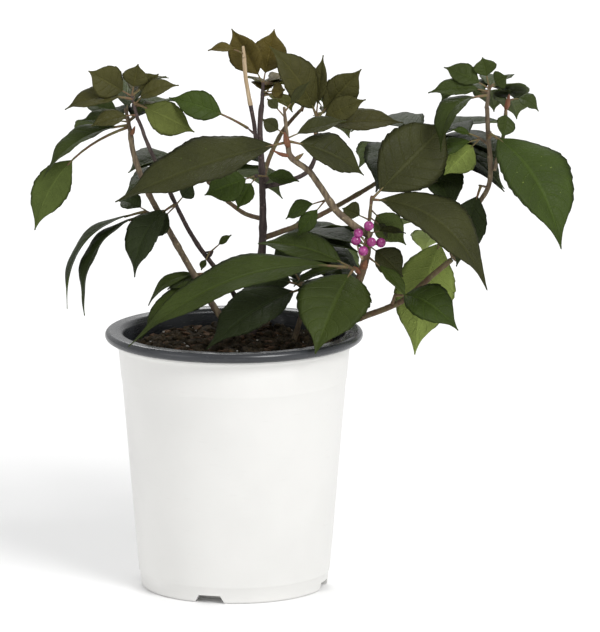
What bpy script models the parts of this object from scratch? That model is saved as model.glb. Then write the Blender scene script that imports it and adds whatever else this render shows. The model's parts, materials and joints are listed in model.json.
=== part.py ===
"""A potted beautyberry: a young flowering shrub with opposite leaves, one cluster of violet berries,
several thin leaning stems and a round nursery pot with a dark rolled rim.

Run with blender --background --python part.py, or from Blender's text editor. The model is in metres
with +Z up. The origin is on the pot's axis at its flat underside. +X is to the right and +Y leads away
from the side that the plant is looked at from. Lengths in the tables are millimetres.
"""

import math
import random

import bmesh
import bpy
from mathutils import Matrix, Vector
from mathutils.bvhtree import BVHTree

MM = 0.001
UP = Vector((0, 0, 1))

# Gap between neighbouring solids
GAP = 0.35

# Pot
POT_HEIGHT = 116.0
WALL = 1.2
FLOOR = 1.6
BASE_RADIUS = 42.2
SHOULDER_RADIUS = 50.4
SHOULDER_HEIGHT = 94.5
WALL_TOP_RADIUS = 51.6
WALL_TOP = 111.6
FLARE_RADIUS = 54.6
FOOT_RING_HEIGHT = 7.0
FOOT_RING_STEP = 0.5
POT_SIDES = 40

# Drain recesses round the foot, with a lid over each inside the pot
DRAIN_COUNT = 4
DRAIN_TURN = -105.0
DRAIN_WIDTH = 15.0
DRAIN_SLOPE = 2.6
DRAIN_HEIGHT = 3.6
DRAIN_DEPTH = 8.0
DRAIN_HOLE_RADIUS = 2.5
LID_THICKNESS = 1.4

# Dark rolled rim and the dark lining under it
RIM_RADIUS = 57.5
RIM_BAND = 4.4
RIM_ROLL_SIDES = 6
LINING_DEPTH = 27.0
LINING = 0.8

# Soil
SOIL_LEVEL = 109.6
SOIL_BACK_RISE = 0.03
SOIL_SHOULDER = 36.0
SOIL_EDGE_DROP = 4.0
SOIL_LEFT_DROP = 3.0
SOIL_BOTTOM = 6.0

# The view from the front looks down a little: this much height stands for one unit of depth
VIEW_SLOPE = 0.196

# Each limb: the points it passes from its foot to its tip, and its radius at both ends. A limb with
# a parent starts clear of that limb, beside the point at this share of its length
LIMBS = {
    "stem_centre": dict(
        points=[(8, 20, 110), (12.5, 16, 150), (12.5, 14, 181), (11.6, 12, 205), (12.5, 12, 216)],
        radii=(2.2, 1.1)),
    "stem_left_outer": dict(
        points=[(0, 13, 110), (-13, 12, 130), (-30, 8, 161), (-40, 5, 181), (-45, 4, 197), (-46, 4, 205)],
        radii=(1.6, 1.15)),
    "stem_left_inner": dict(
        points=[(4, 32, 110), (0, 27, 126), (-8, 21, 139), (-20, 13, 158), (-37, 0, 197),
                (-40.5, -3, 207), (-42.5, -4, 212)],
        radii=(1.2, 0.8)),
    "stem_front": dict(
        points=[(40, -2, 110), (50, -8, 128), (55.5, -11, 140), (58.5, -13, 151), (59.5, -14.5, 160)],
        radii=(2.2, 1.7)),
    "bough_diagonal": dict(
        parent="stem_front", at=1.0,
        points=[(57, -15, 163), (46, -16, 172), (40, -17, 181), (33, -18, 191), (25.5, -19, 197),
                (24, -19, 203)],
        radii=(1.7, 1.2)),
    "stem_right_low": dict(
        points=[(38, 11, 110), (46, 8, 116.5), (55, 4, 120), (74.5, -2, 129), (88, -4, 141),
                (97, -4, 148.5)],
        radii=(1.5, 1.2)),
    "bough_right_upright": dict(
        parent="stem_right_low", at=1.0,
        points=[(97, -3, 151), (97.5, -1, 158), (106, 3, 169), (113, 5, 179), (114, 5, 190),
                (113, 4, 202), (112.3, 3, 216)],
        radii=(1.2, 1.0)),
    "bough_right_thin": dict(
        parent="bough_right_upright", at=0.62,
        points=[(117, 5.5, 192), (119.8, 6, 203), (120.8, 6, 214)],
        radii=(0.9, 0.8)),
    "bough_mid_right": dict(
        parent="stem_centre", at=0.64,
        points=[(24, 17, 180), (33, 20, 184), (37, 21, 193), (36.8, 21, 200)],
        radii=(1.1, 0.9)),
    "bough_top_left": dict(
        parent="stem_centre", at=0.8,
        points=[(9, 9, 207), (7, 8, 218), (5.2, 8, 229), (4.6, 8, 238)],
        radii=(0.95, 0.9)),
    "stem_centre_low": dict(
        points=[(27, 8, 110), (30, 4, 122), (31, 1, 133)],
        radii=(1.3, 0.9)),
    "bough_back_right": dict(
        parent="stem_centre", at=0.42,
        points=[(34, 30, 160), (60, 44, 172), (80, 52, 184)],
        radii=(1.3, 0.9)),
    "bough_back_top": dict(
        parent="stem_centre", at=0.68,
        points=[(16, 24, 190), (22, 36, 200), (30, 44, 208)],
        radii=(1.1, 0.8)),
    "stem_back": dict(
        points=[(14, 34, 110), (18, 42, 124), (20, 52, 136)],
        radii=(1.4, 1.0)),
    "bough_back_left": dict(
        parent="stem_centre", at=0.5,
        points=[(4, 26, 164), (-6, 36, 170), (-12, 44, 175)],
        radii=(1.1, 0.8)),
}


def leaf(along, reach, width, face=(0, -0.7, 1), arch=None, bow=0, fold=16, twist=0, stalk=5):
    """One leaf as real sizes: where it leaves its twig (share of the twig), how far its tip is to the
    right, back and up from there, its width, the way its upper side looks, how far the middle of its
    midrib stands off the straight line (towards the upper side, and sideways), how far its halves
    fold up, how far the blade turns over about its midrib, and the length of its stalk."""
    return dict(along=along, reach=reach, width=width, face=face, arch=arch, bow=bow, fold=fold,
                twist=twist, stalk=stalk)


# Each spray: its limb and where it starts there, its twig, the leaves that show, and how many more
# the seeded rule adds, with the way they look out, their length and the space they keep to as seen
# from the front (lowest and highest x, lowest and highest z)
SPRAYS = {
    "leaves_berry_shoot": dict(
        limb="stem_front", at=0.88, twig=(2.5, 2, 24), radius=0.95,
        leaves=[
            leaf(0.95, (35, 20, 32), 31, face=(0.2, -1, 0.5), arch=3),
            leaf(0.98, (51, -22, -37), 29, face=(0.2, -0.55, 1), arch=15, stalk=3),
            leaf(0.75, (16, 10, -18), 14, face=(-0.2, 1, 0.1), arch=2),
            leaf(0.1, (16, -9, -13), 14, face=(0.2, -1, 0.5), arch=3),
            leaf(0.3, (17, 6, -1), 5, arch=2),
            leaf(0.6, (8, 7, -11), 5, face=(0.6, -0.6, 0.4), arch=2),
            leaf(0.55, (-12, 7, 4), 10, face=(0, -1, 0.6)),
        ]),
    "berry_cluster": dict(
        limb="stem_front", at=0.92, twig=(0.5, -3.2, 1), radius=0.6,
        leaves=[],
        berries=[(0, 0.5, 10), (-4.6, 0, 6.8), (-5.6, 0.5, 3.4), (1.2, -0.5, 2.9), (5.4, 1.5, 2.3),
                 (-2.4, -1, -1)]),
    "leaves_front_node": dict(
        limb="stem_front", at=0.72, twig=(-5, -3, 2), radius=0.8,
        leaves=[
            leaf(0.9, (-97, -26, -31), 22, face=(-0.1, -0.6, 1), arch=17, stalk=8),
            leaf(0.4, (-17, -38, -31), 34, face=(-0.2, -1, 0.5), arch=5),
            leaf(0.5, (-42, 12, 9), 19, face=(0, -0.6, 1), arch=5),
            leaf(0.6, (-12, 3, -2), 7, arch=1),
            leaf(0.7, (-25, 3, -9), 6, arch=4),
        ]),
    "leaves_front_low": dict(
        limb="stem_front", at=0.85, twig=(2, -3, -1), radius=0.6,
        leaves=[
            leaf(0.9, (15, -6, -16), 8, face=(0.5, -0.8, 0.6), arch=2),
        ]),
    "leaves_diagonal_tip": dict(
        limb="bough_diagonal", at=1.0, twig=(-1.5, 0, 16), radius=0.9,
        leaves=[
            leaf(0.02, (-76, -11, -25), 29, face=(0, -0.65, 1), arch=4, stalk=6),
            leaf(0.05, (34, 9, -17), 21, face=(0.1, -0.8, 1), arch=4),
            leaf(0.12, (26, 6, 7), 10, arch=2),
            leaf(0.2, (-11, -3, 8), 7, face=(-0.3, -1, 0.4)),
            leaf(0.85, (11, -2, 14), 5, face=(-0.6, -0.8, 0.3), arch=1),
            leaf(0.7, (-8, 3, 8), 5, face=(0.3, -0.9, 0.3), arch=1),
        ]),
    "leaves_diagonal_under": dict(
        limb="bough_diagonal", at=0.42, twig=(-2, 5, -1), radius=0.6,
        leaves=[
            leaf(0.8, (-17, 4, -9), 10, face=(0, -0.8, 1), arch=2),
            leaf(0.6, (-12, 2, -16), 8, face=(0, -1, 0.4), arch=2),
        ]),
    "leaves_left_outer_crown": dict(
        limb="stem_left_outer", at=1.0, twig=(-2, 3, 9), radius=0.95,
        leaves=[
            leaf(0.2, (-38, -4, -23), 15, face=(-0.5, -0.45, 0.9), arch=7, fold=24),
            leaf(0.12, (-42, -10, -45), 17, face=(0.2, 1, -0.1), arch=1, bow=-9, stalk=30),
            leaf(0.35, (-21, -8, 2), 11, arch=1),
            leaf(0.6, (-20, 2, 5), 11, arch=2),
        ],
        rule=dict(count=5, look=95, spread=110, length=(38, 54), space=(-88, -24, 196, 232))),
    "leaves_left_inner_crown": dict(
        limb="stem_left_inner", at=1.0, twig=(-2.5, 0, 10), radius=0.8,
        leaves=[
            leaf(0.95, (-19, -4, 12), 16, face=(-0.3, -1, 0.4), arch=1),
            leaf(1.0, (3, -3, 15), 12, face=(0, -1, 0.2), arch=1),
            leaf(0.98, (12, -5, 11), 10, face=(0.3, -1, 0.2), arch=1),
            leaf(0.8, (-30, -9, -3), 12, face=(-0.1, -0.8, 1), arch=5),
            leaf(0.1, (-20, -7, -4), 10, face=(-0.1, -0.9, 1), arch=2),
            leaf(0.5, (20, -5, 10), 10, face=(-0.2, -0.8, 0.8), arch=5),
            leaf(0.65, (27, 4, -14), 16, face=(0.2, 0.9, -0.5), arch=-2),
        ],
        rule=dict(count=3, look=60, spread=90, length=(28, 40), space=(-66, -22, 200, 232))),
    "leaves_top_left": dict(
        limb="bough_top_left", at=1.0, twig=(-0.4, 0, 4), radius=0.8,
        leaves=[
            leaf(0.1, (-16, -3, 2), 6, face=(-0.2, -0.8, 1), arch=3),
        ]),
    "leaf_top_left_side": dict(
        limb="bough_top_left", at=0.22, twig=(-2, -1, 2), radius=0.5,
        leaves=[
            leaf(0.8, (-35, -8, 15), 14, face=(0, -1, 0.5), arch=6, stalk=15),
        ]),
    "leaves_top_crown": dict(
        limb="stem_centre", at=1.0, twig=(0.5, 0, 9), radius=0.95,
        leaves=[
            leaf(0.9, (-14, -5, 26), 17, face=(-0.3, -1, 0), fold=30, arch=-1),
            leaf(0.95, (5, 4, 24), 17, face=(0.1, -1, 0.1), fold=25, arch=-1),
            leaf(0.5, (10, -6, 2), 8, face=(0, -1, 0.6)),
            leaf(0.3, (10, -4, 4), 7, face=(0, -1, 0.3)),
        ],
        rule=dict(count=5, look=110, spread=120, length=(34, 48), space=(8, 50, 202, 232))),
    "leaves_mid_right_crown": dict(
        limb="bough_mid_right", at=1.0, twig=(0, 0, 10), radius=0.8,
        leaves=[
            leaf(0.8, (-21, -8, 33), 19, face=(0.6, -1, 0.3), arch=5),
            leaf(1.0, (3, -2, 27), 8, face=(-0.2, -1, 0), fold=30),
            leaf(0.7, (20, -2, 23), 16, face=(0.1, -1, 0.1), arch=-1),
            leaf(0.6, (22, -7, 11), 12, face=(0.2, -0.9, 0.5), arch=2),
            leaf(0.3, (39, 8, 1), 14, face=(0, -0.8, 1), arch=3),
        ],
        rule=dict(count=5, look=80, spread=100, length=(38, 52), space=(14, 58, 200, 228))),
    "leaves_centre_ring": dict(
        limb="stem_centre", at=0.69, twig=(-2, -4, 1), radius=0.9,
        leaves=[
            leaf(0.8, (-23, -5, -8), 17, face=(0, -1, 0.5), arch=2),
            leaf(0.7, (19, -3, -2), 9, face=(0, -0.8, 1), arch=1),
            leaf(0.5, (-9, -7, -14), 10, face=(-0.3, -1, 0.3), arch=3),
        ]),
    "leaves_left_outer_side": dict(
        limb="stem_left_outer", at=0.62, twig=(-5, -3, 3), radius=0.7,
        leaves=[
            leaf(0.9, (-35, -8, -43), 15, face=(-1, -0.15, 0.6), arch=13),
            leaf(0.7, (-28, -16, -44), 15, face=(-1, -0.35, 0.6), arch=12),
            leaf(0.5, (-14, 9, 4), 11, arch=2),
        ]),
    "leaves_left_inner_side": dict(
        limb="stem_left_inner", at=0.6, twig=(-1, -5, 3), radius=0.7,
        leaves=[
            leaf(0.8, (-18, -12, -31), 18, face=(-0.6, -1, 0.6), arch=10),
            leaf(0.6, (8, -3, 10), 8, face=(0, -1, 0.2)),
            leaf(0.5, (-12, 6, -16), 12, face=(-0.3, -1, 0.3), arch=3),
        ]),
    "leaves_left_low": dict(
        limb="stem_left_inner", at=0.27, twig=(-4, -4, 1), radius=0.7,
        leaves=[
            leaf(0.9, (-18, -6, -6), 9, arch=2),
            leaf(0.7, (-31, -20, -26), 12, face=(-0.4, -0.8, 0.8), arch=4),
            leaf(0.8, (-27, -3, -14), 7, arch=8),
            leaf(0.4, (-13, -8, -17), 12, face=(-0.3, -1, 0.4), arch=1),
        ]),
    "leaves_left_inner_small": dict(
        limb="stem_left_inner", at=0.37, twig=(3, -2, 1), radius=0.5,
        leaves=[
            leaf(0.8, (9, -3, 8), 4, face=(-0.5, -0.8, 0.5)),
            leaf(0.6, (-4, -3, -8), 4, face=(-0.6, -0.8, 0.2)),
        ]),
    "leaves_centre_low": dict(
        limb="stem_centre_low", at=1.0, twig=(-1, -2, 4), radius=0.8,
        leaves=[
            leaf(0.2, (-43, -24, -23), 23, face=(-0.2, -0.8, 0.8), arch=6),
            leaf(0.6, (-31, 8, 2), 21, face=(-0.1, -0.9, 0.7), arch=3),
            leaf(0.9, (-12, 3, 18), 10, face=(-0.3, -0.9, 0.5), arch=2),
        ],
        rule=dict(count=3, look=60, spread=120, length=(30, 42), space=(0, 50, 112, 160))),
    "leaves_right_low": dict(
        limb="stem_right_low", at=0.55, twig=(1, -3, 4), radius=0.8,
        leaves=[
            leaf(0.8, (28, -15, -13), 21, face=(0.1, -0.8, 0.8), arch=8),
        ]),
    "leaves_right_elbow": dict(
        limb="bough_right_upright", at=0.12, twig=(-3, 4, 2), radius=0.8,
        leaves=[
            leaf(0.8, (-13, 4, -56), 28, face=(0.2, 1, 0.1), arch=2, bow=-3),
            leaf(0.6, (-4, -2, 17), 6, face=(0.5, -0.8, 0.2)),
        ],
        rule=dict(count=4, look=80, spread=90, length=(40, 56), space=(70, 104, 112, 170))),
    "leaf_right_hanging": dict(
        limb="bough_right_upright", at=0.5, twig=(-3, -2, 1), radius=0.6,
        leaves=[
            leaf(0.7, (-11, -4, -36), 18, face=(-0.2, -1, 0.3), arch=2),
        ]),
    "leaves_right_node": dict(
        limb="bough_right_upright", at=0.78, twig=(-3, 1, 2), radius=0.7,
        leaves=[
            leaf(0.7, (-16, 3, -17), 17, face=(0, 1, 0.2), arch=1),
            leaf(0.6, (-25, 12, -12), 11, arch=2),
            leaf(0.9, (-12, -3, 4), 5, arch=1),
        ]),
    "leaf_right_large": dict(
        limb="bough_right_upright", at=0.84, twig=(0.5, -3, 0.5), radius=0.7,
        leaves=[
            leaf(0.7, (31, -30, -47), 36, face=(0.5, -0.8, 0.6), arch=11),
        ]),
    "leaves_right_crown": dict(
        limb="bough_right_upright", at=1.0, twig=(1, 0, 9), radius=0.9,
        leaves=[
            leaf(0.5, (-21, -9, -24), 15, face=(-0.6, -0.6, 0.9), arch=11),
            leaf(0.7, (-27, -4, 0), 11, face=(-0.1, -0.8, 1), arch=3),
            leaf(0.85, (-20, 3, 9), 11, face=(-0.2, -0.9, 0.8), arch=2),
            leaf(0.95, (-3, 2, 13), 11, face=(0, -1, 0.2)),
            leaf(0.9, (8, -5, 6), 9, face=(0.4, -0.9, 0.5), arch=2),
        ],
        rule=dict(count=5, look=90, spread=130, length=(36, 52), space=(92, 130, 198, 232))),
    "leaves_right_thin_crown": dict(
        limb="bough_right_thin", at=1.0, twig=(0.5, 0, 4), radius=0.7,
        leaves=[
            leaf(0.9, (14, -4, -4), 10, face=(0.4, -0.7, 1), arch=4),
            leaf(0.4, (-2, -5, -14), 10, face=(0.5, -1, 0.2), arch=1),
        ],
        rule=dict(count=2, look=60, spread=60, length=(34, 44), space=(108, 142, 186, 222))),
    "leaves_back_right": dict(
        limb="bough_back_right", at=1.0, twig=(5, 3, 10), radius=0.8,
        leaves=[],
        rule=dict(count=10, look=75, spread=320, length=(50, 74), space=(52, 130, 150, 216))),
    "leaves_back_top": dict(
        limb="bough_back_top", at=1.0, twig=(4, 4, 9), radius=0.8,
        leaves=[],
        rule=dict(count=8, look=95, spread=260, length=(44, 62), space=(8, 58, 198, 228))),
    "leaves_back_middle": dict(
        limb="stem_back", at=1.0, twig=(1, 6, 10), radius=0.9,
        leaves=[],
        rule=dict(count=9, look=90, spread=280, length=(46, 70), space=(-12, 62, 116, 172))),
    "leaves_back_left": dict(
        limb="bough_back_left", at=1.0, twig=(-4, 5, 5), radius=0.8,
        leaves=[],
        rule=dict(count=8, look=110, spread=240, length=(44, 64), space=(-52, 30, 170, 204))),
}

# The seeded rule for the leaves that the front doesn't show
SEED = 41
RULE_WIDTH = 0.42
RULE_RISE = (-12, 22)
RULE_DROOP = 0.16
RULE_TRIES = 24

# Leaf solids
LEAF_STATIONS = (0.0, 0.1, 0.26, 0.46, 0.66, 0.84)
LEAF_THICKNESS = 0.011
LEAF_LEAST_THICKNESS = 0.5
STALK_RADIUS = 0.5
WIDEST_AT = 0.85
OUTLINE_POWER = 1.1
ARCH_SHARE = 0.05
TWIST_FROM = 0.38
TWIST_LENGTH = 0.2

# How a leaf swings back or forward when it would touch another
SWING_STEP = 4.0
SWINGS = 9
SKIN = 0.45
OUTER_SKIN = 0.5
OWN_PART = 2
ROOT_LIMIT = 0.93

LIMB_SIDES = 8
TWIG_SIDES = 6
LIMB_STEP = 7.0

BERRY_RADIUS = 2.15
BERRY_STALK_RADIUS = 0.4

# Colour, roughness and metallic value of each kind of surface
FINISHES = {
    "pot": ((0.80, 0.80, 0.78), 0.45, 0.0),
    "rim": ((0.03, 0.032, 0.035), 0.35, 0.0),
    "soil": ((0.045, 0.03, 0.02), 0.95, 0.0),
    "bark": ((0.23, 0.18, 0.11), 0.8, 0.0),
    "leaf": ((0.06, 0.1, 0.035), 0.5, 0.0),
}


def clear_scene():
    """Removes the objects of the scene that the script starts in."""
    for old in list(bpy.data.objects):
        bpy.data.objects.remove(old, do_unlink=True)


def finish_of(kind):
    """The Principled material of one kind of surface."""
    found = bpy.data.materials.get(kind)
    if found:
        return found
    colour, roughness, metallic = FINISHES[kind]
    material = bpy.data.materials.new(kind)
    material.use_nodes = True
    shader = material.node_tree.nodes["Principled BSDF"]
    shader.inputs["Base Color"].default_value = (*colour, 1)
    shader.inputs["Roughness"].default_value = roughness
    shader.inputs["Metallic"].default_value = metallic
    return material


def add_object(name, vertices, faces, kind, collection=None):
    """Makes a mesh object from points in millimetres, with its faces pointing out."""
    mesh = bpy.data.meshes.new(name)
    mesh.from_pydata([Vector(v) * MM for v in vertices], [], faces)
    shape = bmesh.new()
    shape.from_mesh(mesh)
    bmesh.ops.recalc_face_normals(shape, faces=shape.faces)
    shape.to_mesh(mesh)
    shape.free()
    obj = bpy.data.objects.new(name, mesh)
    mesh.materials.append(finish_of(kind))
    (collection or bpy.context.scene.collection).objects.link(obj)
    return obj


def ring_faces(count, sides, closed_start=True, closed_end=True):
    """Faces that skin rings of points, each ring listed in turn."""
    faces = []
    for ring in range(count - 1):
        for side in range(sides):
            a = ring * sides + side
            b = ring * sides + (side + 1) % sides
            faces.append((a, b, b + sides, a + sides))
    if closed_start:
        faces.append(tuple(reversed(range(sides))))
    if closed_end:
        faces.append(tuple(range((count - 1) * sides, count * sides)))
    return faces


def turned(name, profile, kind, sides=POT_SIDES):
    """A solid turned about Z from a closed profile of (radius, height) points. A point on the axis
    makes a pole."""
    vertices, rings = [], []
    for radius, height in profile:
        if radius == 0:
            rings.append([len(vertices)])
            vertices.append((0, 0, height))
            continue
        rings.append(list(range(len(vertices), len(vertices) + sides)))
        for side in range(sides):
            angle = math.tau * side / sides
            vertices.append((radius * math.cos(angle), radius * math.sin(angle), height))
    faces = []
    for ring, following in zip(rings, rings[1:] + rings[:1]):
        if len(ring) == 1 and len(following) == 1:
            continue
        for side in range(sides):
            after = (side + 1) % sides
            if len(ring) == 1:
                faces.append((ring[0], following[after], following[side]))
            elif len(following) == 1:
                faces.append((ring[side], ring[after], following[0]))
            else:
                faces.append((ring[side], ring[after], following[after], following[side]))
    return add_object(name, vertices, faces, kind)


def wall_radius(height):
    """Outer radius of the pot's wall at a height: a straight taper up to the faint shoulder."""
    if height <= SHOULDER_HEIGHT:
        return BASE_RADIUS + (SHOULDER_RADIUS - BASE_RADIUS) * height / SHOULDER_HEIGHT
    share = (height - SHOULDER_HEIGHT) / (WALL_TOP - SHOULDER_HEIGHT)
    return SHOULDER_RADIUS + (WALL_TOP_RADIUS - SHOULDER_RADIUS) * share


def apply_boolean(target, operation, others, solver="EXACT"):
    """Joins or cuts the target by a collection of objects, applies it and removes those objects."""
    group = bpy.data.collections.new("tools")
    bpy.context.scene.collection.children.link(group)
    for other in others:
        for home in list(other.users_collection):
            home.objects.unlink(other)
        group.objects.link(other)
    modifier = target.modifiers.new("join", "BOOLEAN")
    modifier.operation = operation
    modifier.operand_type = "COLLECTION"
    modifier.collection = group
    modifier.solver = solver
    bpy.context.view_layer.update()
    scene_state = bpy.context.evaluated_depsgraph_get()
    joined = bpy.data.meshes.new_from_object(target.evaluated_get(scene_state))
    target.modifiers.clear()
    old = target.data
    target.data = joined
    bpy.data.meshes.remove(old)
    joined.name = target.name
    for other in others:
        bpy.data.objects.remove(other, do_unlink=True)
    bpy.data.collections.remove(group)


def recess_block(angle, half_width, slope, depth, outer, low, high, name):
    """A block round a radius of the foot, narrower at its top, for a drain recess or its lid."""
    out = Vector((math.cos(angle), math.sin(angle), 0))
    across = Vector((-out.y, out.x, 0))
    near, far = outer - depth, outer
    corners = []
    for height, narrowing in ((low, 0), (high, slope)):
        for radius in (near, far):
            for sign in (-1, 1):
                point = out * radius + across * sign * (half_width - narrowing) + UP * height
                corners.append(point)
    faces = [(0, 1, 3, 2), (4, 6, 7, 5), (0, 2, 6, 4), (1, 5, 7, 3), (0, 4, 5, 1), (2, 3, 7, 6)]
    return add_object(name, corners, faces, "pot")


def build_pot():
    """The pot's wall and floor, with a step at the foot, a faint shoulder and four drain recesses."""
    foot = FOOT_RING_HEIGHT
    outside = [
        (0, 0),
        (wall_radius(0) - 1.2, 0),
        (wall_radius(0) - FOOT_RING_STEP, 0.8),
        (wall_radius(foot) - FOOT_RING_STEP, foot - 0.4),
        (wall_radius(foot), foot + 0.4),
        (wall_radius(SHOULDER_HEIGHT) - 0.3, SHOULDER_HEIGHT - 0.4),
        (wall_radius(SHOULDER_HEIGHT), SHOULDER_HEIGHT + 0.4),
        (WALL_TOP_RADIUS, WALL_TOP - 4.0),
        (WALL_TOP_RADIUS + 0.9, WALL_TOP - 2.0),
        (FLARE_RADIUS, WALL_TOP - 0.9),
        (FLARE_RADIUS, WALL_TOP),
    ]
    inside = [
        (WALL_TOP_RADIUS - WALL, WALL_TOP),
        (WALL_TOP_RADIUS - WALL, WALL_TOP - 4.0),
        (wall_radius(SHOULDER_HEIGHT) - 0.3 - WALL, SHOULDER_HEIGHT - 0.4),
        (wall_radius(FLOOR) - FOOT_RING_STEP - WALL, FLOOR + 1.0),
        (wall_radius(FLOOR) - FOOT_RING_STEP - WALL - 1.0, FLOOR),
        (0, FLOOR),
    ]
    pot = turned("pot", outside + inside, "pot")
    lids, recesses = [], []
    for number in range(DRAIN_COUNT):
        angle = math.radians(DRAIN_TURN + 360 * number / DRAIN_COUNT)
        half = DRAIN_WIDTH / 2
        lid_half = half + LID_THICKNESS
        reach = math.sqrt((BASE_RADIUS - FOOT_RING_STEP - WALL / 2) ** 2 - lid_half ** 2)
        lids.append(recess_block(angle, lid_half, DRAIN_SLOPE, DRAIN_DEPTH + LID_THICKNESS, reach,
                                 FLOOR / 2, DRAIN_HEIGHT + LID_THICKNESS, "lid"))
        recesses.append(recess_block(angle, half, DRAIN_SLOPE, DRAIN_DEPTH + 6, reach + 6,
                                     -1.0, DRAIN_HEIGHT, "recess"))
        centre = reach - DRAIN_DEPTH / 2
        hole = turned("hole", [(0, DRAIN_HEIGHT - 1), (DRAIN_HOLE_RADIUS, DRAIN_HEIGHT - 1),
                               (DRAIN_HOLE_RADIUS, DRAIN_HEIGHT + 4), (0, DRAIN_HEIGHT + 4)],
                      "pot", 12)
        shift = Vector((centre * math.cos(angle), centre * math.sin(angle), 0)) * MM
        hole.data.transform(Matrix.Translation(shift))
        recesses.append(hole)
    apply_boolean(pot, "UNION", lids)
    apply_boolean(pot, "DIFFERENCE", recesses)
    return pot


def soil_height(x, y):
    """Height of the soil's surface: it rises a little to the back and falls near the pot's wall."""
    radius = math.hypot(x, y)
    level = SOIL_LEVEL + SOIL_BACK_RISE * y
    if radius > SOIL_SHOULDER:
        share = (radius - SOIL_SHOULDER) / (BASE_RADIUS + 6 - SOIL_SHOULDER)
        level -= SOIL_EDGE_DROP * share ** 2
        level += SOIL_LEFT_DROP * share ** 2 * min(0.0, x / radius)
    return level


def build_rim():
    """The dark rolled rim over the wall's flared top, and the lining that shows inside the pot."""
    roll = RIM_BAND / 2
    middle = POT_HEIGHT - roll
    outer_skin = RIM_RADIUS - roll
    section = []
    for step in range(RIM_ROLL_SIDES + 1):
        angle = math.radians(-75 + 165 * step / RIM_ROLL_SIDES)
        section.append((outer_skin + roll * math.cos(angle), middle + roll * math.sin(angle)))
    lining_top = WALL_TOP_RADIUS - WALL - GAP
    lining_low = wall_radius(POT_HEIGHT - LINING_DEPTH) - 0.3 - WALL - GAP
    section += [
        (lining_top - LINING + 1.6, POT_HEIGHT - 0.4),
        (lining_top - LINING, POT_HEIGHT - 2.2),
        (lining_low - LINING, POT_HEIGHT - LINING_DEPTH),
        (lining_low, POT_HEIGHT - LINING_DEPTH),
        (lining_top, WALL_TOP - 4.0),
        (lining_top, WALL_TOP + GAP),
        (outer_skin + roll * math.cos(math.radians(-75)), WALL_TOP + GAP),
    ]
    return turned("pot_rim", section, "rim")


def build_soil():
    """The potting soil, clear of the wall, the lining and the lids, with a low mounded top."""
    rings = 5
    lining_low = wall_radius(POT_HEIGHT - LINING_DEPTH) - 0.3 - WALL - GAP - LINING
    top_radius = lining_low - GAP - 0.1
    under = [
        (0, SOIL_BOTTOM),
        (wall_radius(SOIL_BOTTOM) - FOOT_RING_STEP - WALL - GAP - 0.3, SOIL_BOTTOM),
        (wall_radius(POT_HEIGHT - LINING_DEPTH - 2) - 1.0 - WALL - GAP, POT_HEIGHT - LINING_DEPTH - 2),
        (top_radius, POT_HEIGHT - LINING_DEPTH - 1),
    ]
    over = [(top_radius * (rings - ring) / rings, SOIL_LEVEL) for ring in range(rings)]
    over.append((0, SOIL_LEVEL))
    soil = turned("soil", under + over, "soil", 36)
    for vertex in soil.data.vertices:
        if vertex.co.z > (SOIL_LEVEL - 1) * MM:
            vertex.co.z = soil_height(vertex.co.x / MM, vertex.co.y / MM) * MM
    return soil


def smooth_path(points, step):
    """Points about a step apart on a smooth curve through the given ones."""
    points = [Vector(p) for p in points]
    if len(points) == 2:
        return points
    ends = [points[0] * 2 - points[1]] + points + [points[-1] * 2 - points[-2]]
    path = []
    for number in range(1, len(ends) - 2):
        before, start, end, after = ends[number - 1:number + 3]
        count = max(1, round((end - start).length / step))
        for part in range(count):
            t = part / count
            path.append(0.5 * (2 * start + (end - before) * t
                               + (2 * before - 5 * start + 4 * end - after) * t ** 2
                               + (3 * start - before - 3 * end + after) * t ** 3))
    path.append(points[-1])
    return path


def tube(path, radii, sides, flat_foot=False):
    """Rings of a tapering round limb along a path, and its faces."""
    vertices = []
    total = sum((b - a).length for a, b in zip(path, path[1:]))
    gone = 0.0
    across = Vector((0, 1, 0))
    for number, point in enumerate(path):
        before = path[max(number - 1, 0)]
        after = path[min(number + 1, len(path) - 1)]
        along = (after - before).normalized()
        if number == 0 and flat_foot:
            along = UP
        if number:
            gone += (point - path[number - 1]).length
        side = (across - along * across.dot(along))
        if side.length < 0.2:
            side = Vector((1, 0, 0)) - along * along.x
        side.normalize()
        across = side
        other = along.cross(side)
        radius = radii[0] + (radii[1] - radii[0]) * gone / total
        for corner in range(sides):
            angle = math.tau * corner / sides
            vertices.append(point + side * radius * math.cos(angle) + other * radius * math.sin(angle))
    return vertices, ring_faces(len(path), sides)


def point_on(path, share):
    """The point, direction and segment share of a path at a share of its length."""
    lengths = [(b - a).length for a, b in zip(path, path[1:])]
    left = share * sum(lengths)
    for number, length in enumerate(lengths):
        if left <= length or number == len(lengths) - 1:
            start, end = path[number], path[number + 1]
            return start.lerp(end, min(left / length, 1.0)), (end - start).normalized()
        left -= length
    raise ValueError("an empty path")


def start_beside(parent, share, direction, radius):
    """Where a twig or bough of a radius starts so that its flat end is clear of the parent limb."""
    path, radii = parent
    point, along = point_on(path, share)
    direction = direction.normalized()
    if share >= 1.0:
        return point + along * (GAP + radius * math.sin(along.angle(direction)))
    parent_radius = radii[0] + (radii[1] - radii[0]) * share
    cosine = direction.dot(along)
    outward = direction - along * cosine
    if outward.length < 0.25:
        outward = outward.normalized() * 0.25 if outward.length else along.orthogonal()
    outward.normalize()
    return point + outward * (parent_radius + GAP + radius * abs(cosine))


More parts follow.
